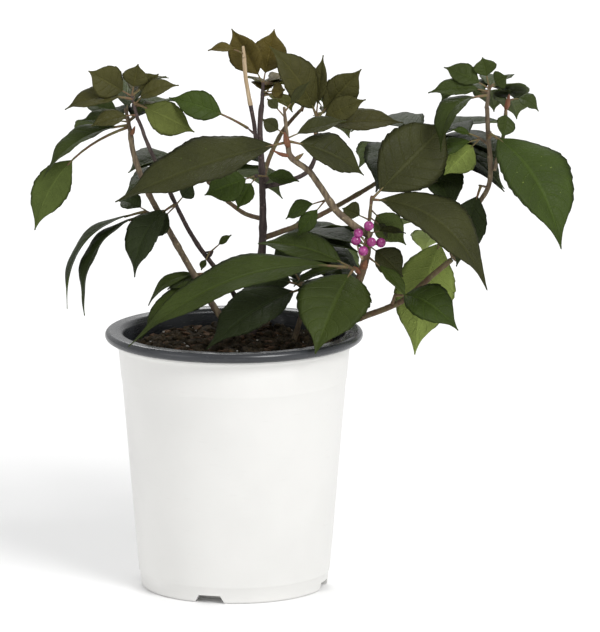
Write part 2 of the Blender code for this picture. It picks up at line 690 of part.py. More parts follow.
def limb_paths():
    """The path and radii of every limb, each bough starting clear of the limb that carries it."""
    paths = {}
    for name, limb in LIMBS.items():
        points = [Vector(p) for p in limb["points"]]
        if "parent" in limb:
            start = start_beside(paths[limb["parent"]], limb["at"],
                                 points[0] - point_on(paths[limb["parent"]][0], limb["at"])[0],
                                 limb["radii"][0])
            points = [start] + points
        else:
            foot = points[0]
            spread = limb["radii"][0]
            foot.z = GAP + 0.05 + max(soil_height(foot.x + spread * dx, foot.y + spread * dy)
                                      for dx in (-1, 0, 1) for dy in (-1, 0, 1))
        paths[name] = (smooth_path(points, LIMB_STEP), limb["radii"])
    return paths


def smooth_share(value):
    """A soft step from 0 to 1."""
    value = min(max(value, 0.0), 1.0)
    return value * value * (3 - 2 * value)


class Blade:
    """A leaf's midrib and the frame of its blade at any share of its length."""

    def __init__(self, base, spec, reach=None):
        self.base = base
        self.spec = spec
        self.reach = Vector(reach or spec["reach"])
        self.length = self.reach.length
        self.face = Vector(spec["face"]).normalized()
        self.twist = math.radians(spec["twist"])
        chord = self.reach.normalized()
        out = (self.face - chord * self.face.dot(chord)).normalized()
        arch = spec["arch"] if spec["arch"] is not None else self.length * ARCH_SHARE
        self.bend = out * 2 * arch + chord.cross(out) * 2 * spec["bow"]
        self.stalk = min(spec["stalk"] / self.length, 0.45)

    def at(self, share):
        """The point, direction, side and upper direction at a share of the length."""
        control = self.base + self.reach / 2 + self.bend
        tip = self.base + self.reach
        point = (self.base * (1 - share) ** 2 + control * 2 * share * (1 - share) + tip * share ** 2)
        along = ((control - self.base) * (1 - share) + (tip - control) * share).normalized()
        upper = (self.face - along * self.face.dot(along)).normalized()
        side = along.cross(upper)
        turn = self.twist * smooth_share((share - TWIST_FROM) / TWIST_LENGTH)
        upper, side = (upper * math.cos(turn) + side * math.sin(turn),
                       side * math.cos(turn) - upper * math.sin(turn))
        return point, along, side, upper

    def half_width(self, share):
        """Half the width at a share of the blade: narrow at its base, drawn out to a point."""
        return self.spec["width"] / 2 * math.sin(math.pi * share ** WIDEST_AT) ** OUTLINE_POWER


def leaf_solid(blade, skin=0.0, first=0):
    """The closed mesh of one leaf from its root in the twig to its tip, thicker by a skin where it is
    only used to test for room."""
    vertices = []
    thick = max(blade.length * LEAF_THICKNESS, LEAF_LEAST_THICKNESS) / 2 + skin
    fold = math.radians(blade.spec["fold"])
    stalk_radius = STALK_RADIUS + skin
    rings = [("stalk", 0.0), ("stalk", blade.stalk * 0.5)] + [("blade", s) for s in LEAF_STATIONS]
    for kind, station in rings[first:]:
        share = station if kind == "stalk" else blade.stalk + (1 - blade.stalk) * station
        point, along, side, upper = blade.at(share)
        half = blade.half_width(station) if kind == "blade" else 0.0
        half = max(half + skin, stalk_radius)
        depth = max(thick, stalk_radius * (1 - station)) if kind == "blade" else stalk_radius
        lift = math.sin(fold) * (half - stalk_radius)
        flat = stalk_radius + math.cos(fold) * (half - stalk_radius)
        vertices += [point - side * flat + upper * lift, point + upper * depth,
                     point + side * flat + upper * lift, point - upper * depth]
    count = len(rings) - first
    faces = ring_faces(count, 4, closed_end=False)
    tip = blade.base + blade.reach * (1 + skin / blade.length)
    vertices.append(tip)
    last = (count - 1) * 4
    faces += [(last + side, last + (side + 1) % 4, last + 4) for side in range(4)]
    return vertices, faces


def tree_of(vertices, faces):
    """A search tree of a mesh, for tests of touching."""
    return BVHTree.FromPolygons(vertices, faces)


def swung(reach, shift):
    """A leaf's reach swung back by a depth, so that it looks the same from the front."""
    return Vector(reach) + Vector((0, shift, -VIEW_SLOPE * shift))


def settle_leaf(base, spec, own_parts, others, swings=SWINGS):
    """The blade that touches nothing: as it is, or swung back or forward in growing steps."""
    for number in range(swings * 2 + 1):
        shift = SWING_STEP * ((number + 1) // 2) * (1 if number % 2 else -1)
        blade = Blade(base, spec, swung(spec["reach"], shift))
        whole = tree_of(*leaf_solid(blade, SKIN))
        if any(whole.overlap(tree) for tree in others):
            continue
        outer = tree_of(*leaf_solid(blade, OUTER_SKIN, first=2 + OWN_PART))
        if any(outer.overlap(tree) for tree in own_parts):
            continue
        return blade
    return None


def rule_leaves(rule, dice):
    """Leaves by the seeded rule: opposite pairs up the twig, each pair turned from the one below."""
    leaves = []
    for number in range(rule["count"]):
        pair, side = divmod(number, 2)
        turn = rule["look"] + (side * 2 - 1) * rule["spread"] / 2 * dice.uniform(0.25, 1.0)
        turn += 20 * (pair % 2)
        rise = math.radians(dice.uniform(*RULE_RISE))
        length = dice.uniform(*rule["length"])
        azimuth = math.radians(turn)
        ahead = Vector((math.cos(azimuth) * math.cos(rise), math.sin(azimuth) * math.cos(rise),
                        math.sin(rise)))
        reach = ahead * length - UP * length * RULE_DROOP
        face = UP + Vector((ahead.x, ahead.y, 0)) * dice.uniform(0.0, 0.4)
        along = 0.2 + 0.8 * (number + 1) / rule["count"]
        spec = leaf(along, tuple(reach), length * RULE_WIDTH, face=tuple(face), arch=length * 0.09,
                    fold=dice.uniform(10, 26))
        leaves.append(spec)
    return leaves


def in_space(blade, space):
    """Whether a leaf keeps to its space as seen from the front."""
    low_x, high_x, low_z, high_z = space
    for share in (0.35, 0.6, 0.8, 1.0):
        point = blade.at(share)[0]
        seen = point.z + VIEW_SLOPE * point.y
        if not (low_x <= point.x <= high_x and low_z <= seen <= high_z):
            return False
    return True


def grow(paths, obstacles):
    """Every spray's twig and blades. The leaves that show are placed first, then those of the rule."""
    grown = {}
    trees = dict(obstacles)
    for name, spray in SPRAYS.items():
        twig = Vector(spray["twig"])
        start = start_beside(paths[spray["limb"]], spray["at"], twig, spray["radius"])
        path = [start, start + twig]
        mesh = tube(path, (spray["radius"], spray["radius"] * 0.7), TWIG_SIDES)
        grown[name] = dict(path=path, blades=[], wholes=[tree_of(*mesh)], outers=[])
    skipped = []

    def place(name, spec, space=None):
        spray = grown[name]
        base = spray["path"][0].lerp(spray["path"][1], min(spec["along"], ROOT_LIMIT))
        others = list(trees.values())
        for other in grown:
            if other != name:
                others += grown[other]["wholes"]
        blade = settle_leaf(base, spec, spray["outers"], others, 2 if space else SWINGS)
        if blade is None or (space and not in_space(blade, space)):
            return False
        spray["blades"].append(blade)
        spray["wholes"].append(tree_of(*leaf_solid(blade)))
        spray["outers"].append(tree_of(*leaf_solid(blade, 0.0, first=2 + OWN_PART)))
        return True

    for name, spray in SPRAYS.items():
        for number, spec in enumerate(spray["leaves"]):
            if not place(name, spec):
                skipped.append((name, number))
    for order, (name, spray) in enumerate(SPRAYS.items()):
        if "rule" not in spray:
            continue
        dice = random.Random(SEED + order)
        wanted = spray["rule"]["count"]
        placed = 0
        for attempt in range(RULE_TRIES):
            for spec in rule_leaves(spray["rule"], dice):
                if placed < wanted and place(name, spec, spray["rule"]["space"]):
                    placed += 1
        if placed < wanted:
            skipped.append((name, "rule", wanted - placed))
    return grown, skipped


def ball(centre, radius, name):
    """A small faceted ball."""
    shape = bmesh.new()
    bmesh.ops.create_icosphere(shape, subdivisions=1, radius=radius * MM)
    bmesh.ops.translate(shape, verts=shape.verts, vec=centre * MM)
    mesh = bpy.data.meshes.new(name)
    shape.to_mesh(mesh)
    shape.free()
    obj = bpy.data.objects.new(name, mesh)
    bpy.context.scene.collection.objects.link(obj)
    return obj


def build_spray(name, grown):
    """One mass of leaves: its twig, leaves and berries joined into one body."""
    spray = SPRAYS[name]
    path = grown[name]["path"]
    vertices, faces = tube(path, (spray["radius"], spray["radius"] * 0.7), TWIG_SIDES)
    twig = add_object(name, vertices, faces, "leaf")
    pieces = []
    for number, blade in enumerate(grown[name]["blades"]):
        pieces.append(add_object(f"{name}_leaf_{number}", *leaf_solid(blade), "leaf"))
    for number, offset in enumerate(spray.get("berries", ())):
        root = path[0].lerp(path[1], 0.85)
        centre = path[1] + Vector(offset)
        pieces.append(ball(centre, BERRY_RADIUS, f"{name}_berry_{number}"))
        stalk = tube([root, centre], (BERRY_STALK_RADIUS, BERRY_STALK_RADIUS), 4)
        pieces.append(add_object(f"{name}_stalk_{number}", *stalk, "leaf"))
    if pieces:
        apply_boolean(twig, "UNION", pieces, "MANIFOLD")
    return twig


def build():
    """Builds the pot, the soil, the limbs and the sprays of leaves."""
    clear_scene()
    pieces = [build_pot(), build_rim(), build_soil()]
    paths = limb_paths()
    limbs = {}
    for name, (path, radii) in paths.items():
        flat = "parent" not in LIMBS[name]
        vertices, faces = tube(path, radii, LIMB_SIDES, flat)
        add_object(name, vertices, faces, "bark")
        limbs[name] = tree_of(vertices, faces)
    for piece in pieces:
        corners = [v.co / MM for v in piece.data.vertices]
        limbs[piece.name] = tree_of(corners, [tuple(p.vertices) for p in piece.data.polygons])
    grown, skipped = grow(paths, limbs)
    for name in SPRAYS:
        build_spray(name, grown)
    return grown, skipped


GROWN, SKIPPED = build()
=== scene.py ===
"""The potted beautyberry's looks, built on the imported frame: barked stems, veined leaves grown by the
source's rule, berries, crumbly potting soil and a smooth nursery pot. Lengths are millimetres, turned
into metres where a mesh is made.
"""

import json
import math
import random

import bmesh
import bpy
from mathutils import Matrix, Vector, noise
from mathutils.bvhtree import BVHTree

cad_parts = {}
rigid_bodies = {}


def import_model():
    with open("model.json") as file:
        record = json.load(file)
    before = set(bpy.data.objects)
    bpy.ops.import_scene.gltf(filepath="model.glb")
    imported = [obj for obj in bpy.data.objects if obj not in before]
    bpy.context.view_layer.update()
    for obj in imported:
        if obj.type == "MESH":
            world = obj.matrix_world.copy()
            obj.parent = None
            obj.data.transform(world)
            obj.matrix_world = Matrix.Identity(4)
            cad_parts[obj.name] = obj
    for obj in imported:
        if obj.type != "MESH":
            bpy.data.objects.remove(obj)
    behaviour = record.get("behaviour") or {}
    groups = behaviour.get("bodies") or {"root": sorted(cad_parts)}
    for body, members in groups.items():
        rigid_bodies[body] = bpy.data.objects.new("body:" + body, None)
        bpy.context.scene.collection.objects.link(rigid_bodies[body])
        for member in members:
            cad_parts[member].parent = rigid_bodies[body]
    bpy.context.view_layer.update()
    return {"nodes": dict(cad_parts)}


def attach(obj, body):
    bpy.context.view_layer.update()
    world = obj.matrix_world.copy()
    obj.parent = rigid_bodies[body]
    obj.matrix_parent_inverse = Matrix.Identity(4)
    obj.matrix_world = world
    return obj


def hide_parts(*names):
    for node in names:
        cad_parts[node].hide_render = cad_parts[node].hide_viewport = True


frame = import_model()

MM = 0.001
UP = Vector((0, 0, 1))

# Gap between neighbouring solids
GAP = 0.35

# Pot
POT_HEIGHT = 116.0
WALL = 1.2
FLOOR = 1.6
BASE_RADIUS = 42.2
SHOULDER_RADIUS = 50.4
SHOULDER_HEIGHT = 94.5
WALL_TOP_RADIUS = 51.6
WALL_TOP = 111.6
FLARE_RADIUS = 54.6
FOOT_RING_HEIGHT = 7.0
FOOT_RING_STEP = 0.5

# Drain recesses round the foot, with a lid over each inside the pot
DRAIN_COUNT = 4
DRAIN_TURN = -105.0
DRAIN_WIDTH = 15.0
DRAIN_SLOPE = 2.6
DRAIN_HEIGHT = 3.6
DRAIN_DEPTH = 8.0
DRAIN_HOLE_RADIUS = 2.5
LID_THICKNESS = 1.4

# Dark rolled rim and the dark lining under it
RIM_RADIUS = 57.5
RIM_BAND = 4.4
LINING_DEPTH = 27.0
LINING = 0.8

# Soil
SOIL_LEVEL = 109.6
SOIL_BACK_RISE = 0.03
SOIL_SHOULDER = 36.0
SOIL_EDGE_DROP = 4.0
SOIL_LEFT_DROP = 3.0
SOIL_REACH = BASE_RADIUS + 6.0

# The view from the front looks down a little: this much height stands for one unit of depth
VIEW_SLOPE = 0.196

# Each limb: the points it passes from its foot to its tip, and its radius at both ends. A limb with
# a parent starts clear of that limb, beside the point at this share of its length
LIMBS = {
    "stem_centre": dict(
        points=[(8, 20, 110), (12.5, 16, 150), (12.5, 14, 181), (11.6, 12, 205), (12.5, 12, 216)],
        radii=(2.2, 1.1)),
    "stem_left_outer": dict(
        points=[(0, 13, 110), (-13, 12, 130), (-30, 8, 161), (-40, 5, 181), (-45, 4, 197), (-46, 4, 205)],
        radii=(1.6, 1.15)),
    "stem_left_inner": dict(
        points=[(4, 32, 110), (0, 27, 126), (-8, 21, 139), (-20, 13, 158), (-37, 0, 197),
                (-40.5, -3, 207), (-42.5, -4, 212)],
        radii=(1.2, 0.8)),
    "stem_front": dict(
        points=[(40, -2, 110), (50, -8, 128), (55.5, -11, 140), (58.5, -13, 151), (59.5, -14.5, 160)],
        radii=(2.2, 1.7)),
    "bough_diagonal": dict(
        parent="stem_front", at=1.0,
        points=[(57, -15, 163), (46, -16, 172), (40, -17, 181), (33, -18, 191), (25.5, -19, 197),
                (24, -19, 203)],
        radii=(1.7, 1.2)),
    "stem_right_low": dict(
        points=[(38, 11, 110), (46, 8, 116.5), (55, 4, 120), (74.5, -2, 129), (88, -4, 141),
                (97, -4, 148.5)],
        radii=(1.5, 1.2)),
    "bough_right_upright": dict(
        parent="stem_right_low", at=1.0,
        points=[(97, -3, 151), (97.5, -1, 158), (106, 3, 169), (113, 5, 179), (114, 5, 190),
                (113, 4, 202), (112.3, 3, 216)],
        radii=(1.2, 1.0)),
    "bough_right_thin": dict(
        parent="bough_right_upright", at=0.62,
        points=[(117, 5.5, 192), (119.8, 6, 203), (120.8, 6, 214)],
        radii=(0.9, 0.8)),
    "bough_mid_right": dict(
        parent="stem_centre", at=0.64,
        points=[(24, 17, 180), (33, 20, 184), (37, 21, 193), (36.8, 21, 200)],
        radii=(1.1, 0.9)),
    "bough_top_left": dict(
        parent="stem_centre", at=0.8,
        points=[(9, 9, 207), (7, 8, 218), (5.2, 8, 229), (4.6, 8, 238)],
        radii=(0.95, 0.9)),
    "stem_centre_low": dict(
        points=[(27, 8, 110), (30, 4, 122), (31, 1, 133)],
        radii=(1.3, 0.9)),
    "bough_back_right": dict(
        parent="stem_centre", at=0.42,
        points=[(34, 30, 160), (60, 44, 172), (80, 52, 184)],
        radii=(1.3, 0.9)),
    "bough_back_top": dict(
        parent="stem_centre", at=0.68,
        points=[(16, 24, 190), (22, 36, 200), (30, 44, 208)],
        radii=(1.1, 0.8)),
    "stem_back": dict(
        points=[(14, 34, 110), (18, 42, 124), (20, 52, 136)],
        radii=(1.4, 1.0)),
    "bough_back_left": dict(
        parent="stem_centre", at=0.5,
        points=[(4, 26, 164), (-6, 36, 170), (-12, 44, 175)],
        radii=(1.1, 0.8)),
}


def leaf(along, reach, width, face=(0, -0.7, 1), arch=None, bow=0, fold=16, stalk=5):
    """One leaf as real sizes: where it leaves its twig (share of the twig), how far its tip is to the
    right, back and up from there, its width, the way its upper side looks, how far the middle of its
    midrib stands off the straight line (towards the upper side, and sideways), how far its halves
    fold up, and the length of its stalk."""
    return dict(along=along, reach=reach, width=width, face=face, arch=arch, bow=bow, fold=fold,
                stalk=stalk)


def spray_on(limb, at, twig, radius, leaves, rule=None, berries=()):
    """One spray: its limb and the share of the limb's length where it starts, its twig's reach and
    radius, the leaves that show, the rule for more, and the places of its berries."""
    return dict(limb=limb, at=at, twig=twig, radius=radius, leaves=leaves, rule=rule, berries=berries)


# The sprays. A rule says how many leaves it adds, the way they look out and how far round they spread
# (degrees), their length, and the space they keep to as seen from the front (lowest and highest x,
# lowest and highest z)
SPRAYS = {
    "leaves_berry_shoot": spray_on("stem_front", 0.88, (2.5, 2, 24), 0.95, [
        leaf(0.95, (35, 20, 32), 31, face=(0.2, -1, 0.5), arch=3),
        leaf(0.98, (51, -22, -37), 29, face=(0.2, -0.55, 1), arch=15, stalk=3),
        leaf(0.75, (16, 10, -18), 14, face=(-0.2, 1, 0.1), arch=2),
        leaf(0.1, (16, -9, -13), 14, face=(0.2, -1, 0.5), arch=3),
        leaf(0.3, (17, 6, -1), 5, arch=2),
        leaf(0.6, (8, 7, -11), 5, face=(0.6, -0.6, 0.4), arch=2),
        leaf(0.55, (-12, 7, 4), 10, face=(0, -1, 0.6)),
    ]),
    "berry_cluster": spray_on("stem_front", 0.92, (0.5, -3.2, 1), 0.6, [],
        berries=[(0, 0.5, 10), (-4.6, 0, 6.8), (-5.6, 0.5, 3.4), (1.2, -0.5, 2.9), (5.4, 1.5, 2.3),
                 (-2.4, -1, -1)]),
    "leaves_front_node": spray_on("stem_front", 0.72, (-5, -3, 2), 0.8, [
        leaf(0.9, (-97, -26, -31), 22, face=(-0.1, -0.6, 1), arch=17, stalk=8),
        leaf(0.4, (-17, -38, -31), 34, face=(-0.2, -1, 0.5), arch=5),
        leaf(0.5, (-42, 12, 9), 19, face=(0, -0.6, 1), arch=5),
        leaf(0.6, (-12, 3, -2), 7, arch=1),
        leaf(0.7, (-25, 3, -9), 6, arch=4),
    ]),
    "leaves_front_low": spray_on("stem_front", 0.85, (2, -3, -1), 0.6, [
        leaf(0.9, (15, -6, -16), 8, face=(0.5, -0.8, 0.6), arch=2),
    ]),
    "leaves_diagonal_tip": spray_on("bough_diagonal", 1.0, (-1.5, 0, 16), 0.9, [
        leaf(0.02, (-76, -11, -25), 29, face=(0, -0.65, 1), arch=4, stalk=6),
        leaf(0.05, (34, 9, -17), 21, face=(0.1, -0.8, 1), arch=4),
        leaf(0.12, (26, 6, 7), 10, arch=2),
        leaf(0.2, (-11, -3, 8), 7, face=(-0.3, -1, 0.4)),
        leaf(0.85, (11, -2, 14), 5, face=(-0.6, -0.8, 0.3), arch=1),
        leaf(0.7, (-8, 3, 8), 5, face=(0.3, -0.9, 0.3), arch=1),
    ]),
    "leaves_diagonal_under": spray_on("bough_diagonal", 0.42, (-2, 5, -1), 0.6, [
        leaf(0.8, (-17, 4, -9), 10, face=(0, -0.8, 1), arch=2),
        leaf(0.6, (-12, 2, -16), 8, face=(0, -1, 0.4), arch=2),
    ]),
    "leaves_left_outer_crown": spray_on("stem_left_outer", 1.0, (-2, 3, 9), 0.95, [
        leaf(0.2, (-38, -4, -23), 15, face=(-0.5, -0.45, 0.9), arch=7, fold=24),
        leaf(0.12, (-42, -10, -45), 17, face=(0.2, 1, -0.1), arch=1, bow=-9, stalk=30),
        leaf(0.35, (-21, -8, 2), 11, arch=1),
        leaf(0.6, (-20, 2, 5), 11, arch=2),
    ], rule=dict(count=5, look=95, spread=110, length=(38, 54), space=(-88, -24, 196, 232))),
    "leaves_left_inner_crown": spray_on("stem_left_inner", 1.0, (-2.5, 0, 10), 0.8, [
        leaf(0.95, (-19, -4, 12), 16, face=(-0.3, -1, 0.4), arch=1),
        leaf(1.0, (3, -3, 15), 12, face=(0, -1, 0.2), arch=1),
        leaf(0.98, (12, -5, 11), 10, face=(0.3, -1, 0.2), arch=1),
        leaf(0.8, (-30, -9, -3), 12, face=(-0.1, -0.8, 1), arch=5),
        leaf(0.1, (-20, -7, -4), 10, face=(-0.1, -0.9, 1), arch=2),
        leaf(0.5, (20, -5, 10), 10, face=(-0.2, -0.8, 0.8), arch=5),
        leaf(0.65, (27, 4, -14), 16, face=(0.2, 0.9, -0.5), arch=-2),
    ], rule=dict(count=3, look=60, spread=90, length=(28, 40), space=(-66, -22, 200, 232))),
    "leaves_top_left": spray_on("bough_top_left", 1.0, (-0.4, 0, 4), 0.8, [
        leaf(0.1, (-16, -3, 2), 6, face=(-0.2, -0.8, 1), arch=3),
    ]),
    "leaf_top_left_side": spray_on("bough_top_left", 0.22, (-2, -1, 2), 0.5, [
        leaf(0.8, (-35, -8, 15), 14, face=(0, -1, 0.5), arch=6, stalk=15),
    ]),
    "leaves_top_crown": spray_on("stem_centre", 1.0, (0.5, 0, 9), 0.95, [
        leaf(0.9, (-14, -5, 26), 17, face=(-0.3, -1, 0), fold=30, arch=-1),
        leaf(0.95, (5, 4, 24), 17, face=(0.1, -1, 0.1), fold=25, arch=-1),
        leaf(0.5, (10, -6, 2), 8, face=(0, -1, 0.6)),
        leaf(0.3, (10, -4, 4), 7, face=(0, -1, 0.3)),
    ], rule=dict(count=5, look=110, spread=120, length=(34, 48), space=(8, 50, 202, 232))),
    "leaves_mid_right_crown": spray_on("bough_mid_right", 1.0, (0, 0, 10), 0.8, [
        leaf(0.8, (-21, -8, 33), 19, face=(0.6, -1, 0.3), arch=5),
        leaf(1.0, (3, -2, 27), 8, face=(-0.2, -1, 0), fold=30),
        leaf(0.7, (20, -2, 23), 16, face=(0.1, -1, 0.1), arch=-1),
        leaf(0.6, (22, -7, 11), 12, face=(0.2, -0.9, 0.5), arch=2),
        leaf(0.3, (39, 8, 1), 14, face=(0, -0.8, 1), arch=3),
    ], rule=dict(count=5, look=80, spread=100, length=(38, 52), space=(14, 58, 200, 228))),
    "leaves_centre_ring": spray_on("stem_centre", 0.69, (-2, -4, 1), 0.9, [
        leaf(0.8, (-23, -5, -8), 17, face=(0, -1, 0.5), arch=2),
        leaf(0.7, (19, -3, -2), 9, face=(0, -0.8, 1), arch=1),
        leaf(0.5, (-9, -7, -14), 10, face=(-0.3, -1, 0.3), arch=3),
    ]),
    "leaves_left_outer_side": spray_on("stem_left_outer", 0.62, (-5, -3, 3), 0.7, [
        leaf(0.9, (-35, -8, -43), 15, face=(-1, -0.15, 0.6), arch=13),
        leaf(0.7, (-28, -16, -44), 15, face=(-1, -0.35, 0.6), arch=12),
        leaf(0.5, (-14, 9, 4), 11, arch=2),
    ]),
    "leaves_left_inner_side": spray_on("stem_left_inner", 0.6, (-1, -5, 3), 0.7, [
        leaf(0.8, (-18, -12, -31), 18, face=(-0.6, -1, 0.6), arch=10),
        leaf(0.6, (8, -3, 10), 8, face=(0, -1, 0.2)),
        leaf(0.5, (-12, 6, -16), 12, face=(-0.3, -1, 0.3), arch=3),
    ]),
    "leaves_left_low": spray_on("stem_left_inner", 0.27, (-4, -4, 1), 0.7, [
        leaf(0.9, (-18, -6, -6), 9, arch=2),
        leaf(0.7, (-31, -20, -26), 12, face=(-0.4, -0.8, 0.8), arch=4),
        leaf(0.8, (-27, -3, -14), 7, arch=8),
        leaf(0.4, (-13, -8, -17), 12, face=(-0.3, -1, 0.4), arch=1),
    ]),
    "leaves_left_inner_small": spray_on("stem_left_inner", 0.37, (3, -2, 1), 0.5, [
        leaf(0.8, (9, -3, 8), 4, face=(-0.5, -0.8, 0.5)),
        leaf(0.6, (-4, -3, -8), 4, face=(-0.6, -0.8, 0.2)),
    ]),
    "leaves_centre_low": spray_on("stem_centre_low", 1.0, (-1, -2, 4), 0.8, [
        leaf(0.2, (-43, -24, -23), 23, face=(-0.2, -0.8, 0.8), arch=6),
        leaf(0.6, (-31, 8, 2), 21, face=(-0.1, -0.9, 0.7), arch=3),
        leaf(0.9, (-12, 3, 18), 10, face=(-0.3, -0.9, 0.5), arch=2),
    ], rule=dict(count=3, look=60, spread=120, length=(30, 42), space=(0, 50, 112, 160))),
    "leaves_right_low": spray_on("stem_right_low", 0.55, (1, -3, 4), 0.8, [
        leaf(0.8, (28, -15, -13), 21, face=(0.1, -0.8, 0.8), arch=8),
    ]),
    "leaves_right_elbow": spray_on("bough_right_upright", 0.12, (-3, 4, 2), 0.8, [
        leaf(0.8, (-13, 4, -56), 28, face=(0.2, 1, 0.1), arch=2, bow=-3),
        leaf(0.6, (-4, -2, 17), 6, face=(0.5, -0.8, 0.2)),
    ], rule=dict(count=4, look=80, spread=90, length=(40, 56), space=(70, 104, 112, 170))),
    "leaf_right_hanging": spray_on("bough_right_upright", 0.5, (-3, -2, 1), 0.6, [
        leaf(0.7, (-11, -4, -36), 18, face=(-0.2, -1, 0.3), arch=2),
    ]),
    "leaves_right_node": spray_on("bough_right_upright", 0.78, (-3, 1, 2), 0.7, [
        leaf(0.7, (-16, 3, -17), 17, face=(0, 1, 0.2), arch=1),
        leaf(0.6, (-25, 12, -12), 11, arch=2),
        leaf(0.9, (-12, -3, 4), 5, arch=1),
    ]),
    "leaf_right_large": spray_on("bough_right_upright", 0.84, (0.5, -3, 0.5), 0.7, [
        leaf(0.7, (31, -30, -47), 36, face=(0.5, -0.8, 0.6), arch=11),
    ]),
    "leaves_right_crown": spray_on("bough_right_upright", 1.0, (1, 0, 9), 0.9, [
        leaf(0.5, (-21, -9, -24), 15, face=(-0.6, -0.6, 0.9), arch=11),
        leaf(0.7, (-27, -4, 0), 11, face=(-0.1, -0.8, 1), arch=3),
        leaf(0.85, (-20, 3, 9), 11, face=(-0.2, -0.9, 0.8), arch=2),
        leaf(0.95, (-3, 2, 13), 11, face=(0, -1, 0.2)),
        leaf(0.9, (8, -5, 6), 9, face=(0.4, -0.9, 0.5), arch=2),
    ], rule=dict(count=5, look=90, spread=130, length=(36, 52), space=(92, 130, 198, 232))),
    "leaves_right_thin_crown": spray_on("bough_right_thin", 1.0, (0.5, 0, 4), 0.7, [
        leaf(0.9, (14, -4, -4), 10, face=(0.4, -0.7, 1), arch=4),
        leaf(0.4, (-2, -5, -14), 10, face=(0.5, -1, 0.2), arch=1),
    ], rule=dict(count=2, look=60, spread=60, length=(34, 44), space=(108, 142, 186, 222))),
    "leaves_back_right": spray_on("bough_back_right", 1.0, (5, 3, 10), 0.8, [],
        rule=dict(count=10, look=75, spread=320, length=(50, 74), space=(52, 130, 150, 216))),
    "leaves_back_top": spray_on("bough_back_top", 1.0, (4, 4, 9), 0.8, [],
        rule=dict(count=8, look=95, spread=260, length=(44, 62), space=(8, 58, 198, 228))),
    "leaves_back_middle": spray_on("stem_back", 1.0, (1, 6, 10), 0.9, [],
        rule=dict(count=9, look=90, spread=280, length=(46, 70), space=(-12, 62, 116, 172))),
    "leaves_back_left": spray_on("bough_back_left", 1.0, (-4, 5, 5), 0.8, [],
        rule=dict(count=8, look=110, spread=240, length=(44, 64), space=(-52, 30, 170, 204))),
}

# The seeded rule for the leaves that the front doesn't show: their width, rise, droop, arch, lean and
# fold, how far the leaves of a pair open, the turn between pairs, and where on the twig they begin
SEED = 41
RULE_WIDTH = 0.42
RULE_RISE = (-12, 22)
RULE_DROOP = 0.16
RULE_ARCH = 0.09
RULE_LEAN = (0.0, 0.4)
RULE_FOLD = (10, 26)
RULE_OPENING = (0.25, 1.0)
RULE_TURN = 20
RULE_START = 0.2
RULE_TRIES = 24
RULE_SWINGS = 2
SPACE_SHARES = (0.35, 0.6, 0.8, 1.0)

# The plain solid of a leaf, by which it is tested for room
LEAF_STATIONS = (0.0, 0.1, 0.26, 0.46, 0.66, 0.84)
LEAF_THICKNESS = 0.011
LEAF_LEAST_THICKNESS = 0.5
STALK_RADIUS = 0.5
MOST_STALK = 0.45
WIDEST_AT = 0.85
OUTLINE_POWER = 1.1
ARCH_SHARE = 0.05

# How a leaf swings back or forward when it would touch another, the room that it keeps, and the ring
# where the outer part starts that must not touch its own spray either
SWING_STEP = 4.0
SWINGS = 9
SKIN = 0.45
OUTER_SKIN = 0.5
OUTER_RING = 4
ROOT_LIMIT = 0.93

# Limbs, twigs and berries of the plain solids
LIMB_SIDES = 8
LIMB_STEP = 7.0
LEAST_SIDE = 0.2
FOOT_CLEARANCE = 0.05
TWIG_SIDES = 6
TWIG_TAPER = 0.7
BERRY_RADIUS = 2.15

# Detail of the leaves: steps and columns of a blade, teeth and side veins for each millimetre, the
# slant of the veins, the quilting between them, the drawn-out tip, the sunk midrib and the wavy margin
BLADE_STEPS = 46
BLADE_COLUMNS = 5
BLADE_FROM = 0.004
BLADE_SPAN = 0.988
BLADE_THICKNESS = 0.28
SMALL_LEAF = 22.0
LEAST_HALF_WIDTH = 0.35
TEETH_EACH_MM = 0.24
LEAST_TEETH = 6
TOOTH = 0.055
VEINS_EACH_MM = 0.17
LEAST_VEINS = 5
VEIN_SLANT = 0.2
VEIN_CURVE = 1.35
QUILT = 0.019
QUILT_REACH = 1.2
DRAWN_TIP = 0.42
DRAWN_FROM = 0.7
DRAWN_LENGTH = 0.22
END_FADE = 6
FOLD_SPREAD = 0.8
DROP = (0.28, 0.45)
MIDRIB_DEPTH = 0.03
MIDRIB_WIDTH = 0.12
WAVE = 0.01
WAVES = (2.0, 3.4)
WAVE_LAG = 1.3

# Detail of the leaf stalks
STALK_STEPS = 7
STALK_RING = 7
STALK_RUN = 0.05
STALK_SINK = 0.35
STALK_REAL_RADIUS = 0.62
STALK_ENDS = (1.15, 0.7)
THIN_STALK = 0.6
LONG_LEAF = 30

# Detail of the limbs: bark grain, swollen nodes, rounded ends, and how far each runs into its carrier
BARK_STEP = 1.1
BARK_SIDES = 18
BARK_RELIEF = 0.05
BARK_GRAIN = (1.3, 1.3, 0.35)
GRAIN_SHIFT = 50
NODE_EVERY = 27.0
NODE_START = 0.6
NODE_SWELL = 0.16
NODE_SPREAD = 1.7
END_LENGTH = 0.6
END_TAPER = 0.22
SOIL_RUN = 2.2
BOUGH_RUN = 1.5
TWIG_RUN = 1.3
TWIG_STEP = 1.0
TWIG_RING = 12
TWIG_NODE_EVERY = 6.0
FINE_STEP = 0.8
FINE_RELIEF = 0.03

# Detail of the pot
ROUND_SIDES = 160
FOOT_CORNER = 1.2
FLARE_ARC = 2.4
FLARE_DROP = 3.3
HOLE_SIDES = 24
CUT_MARGIN = 6
RECESS_FOOT = -1.0
HOLE_FROM = DRAIN_HEIGHT - 1
HOLE_TO = DRAIN_HEIGHT + 4
LINING_TAPER = 0.3

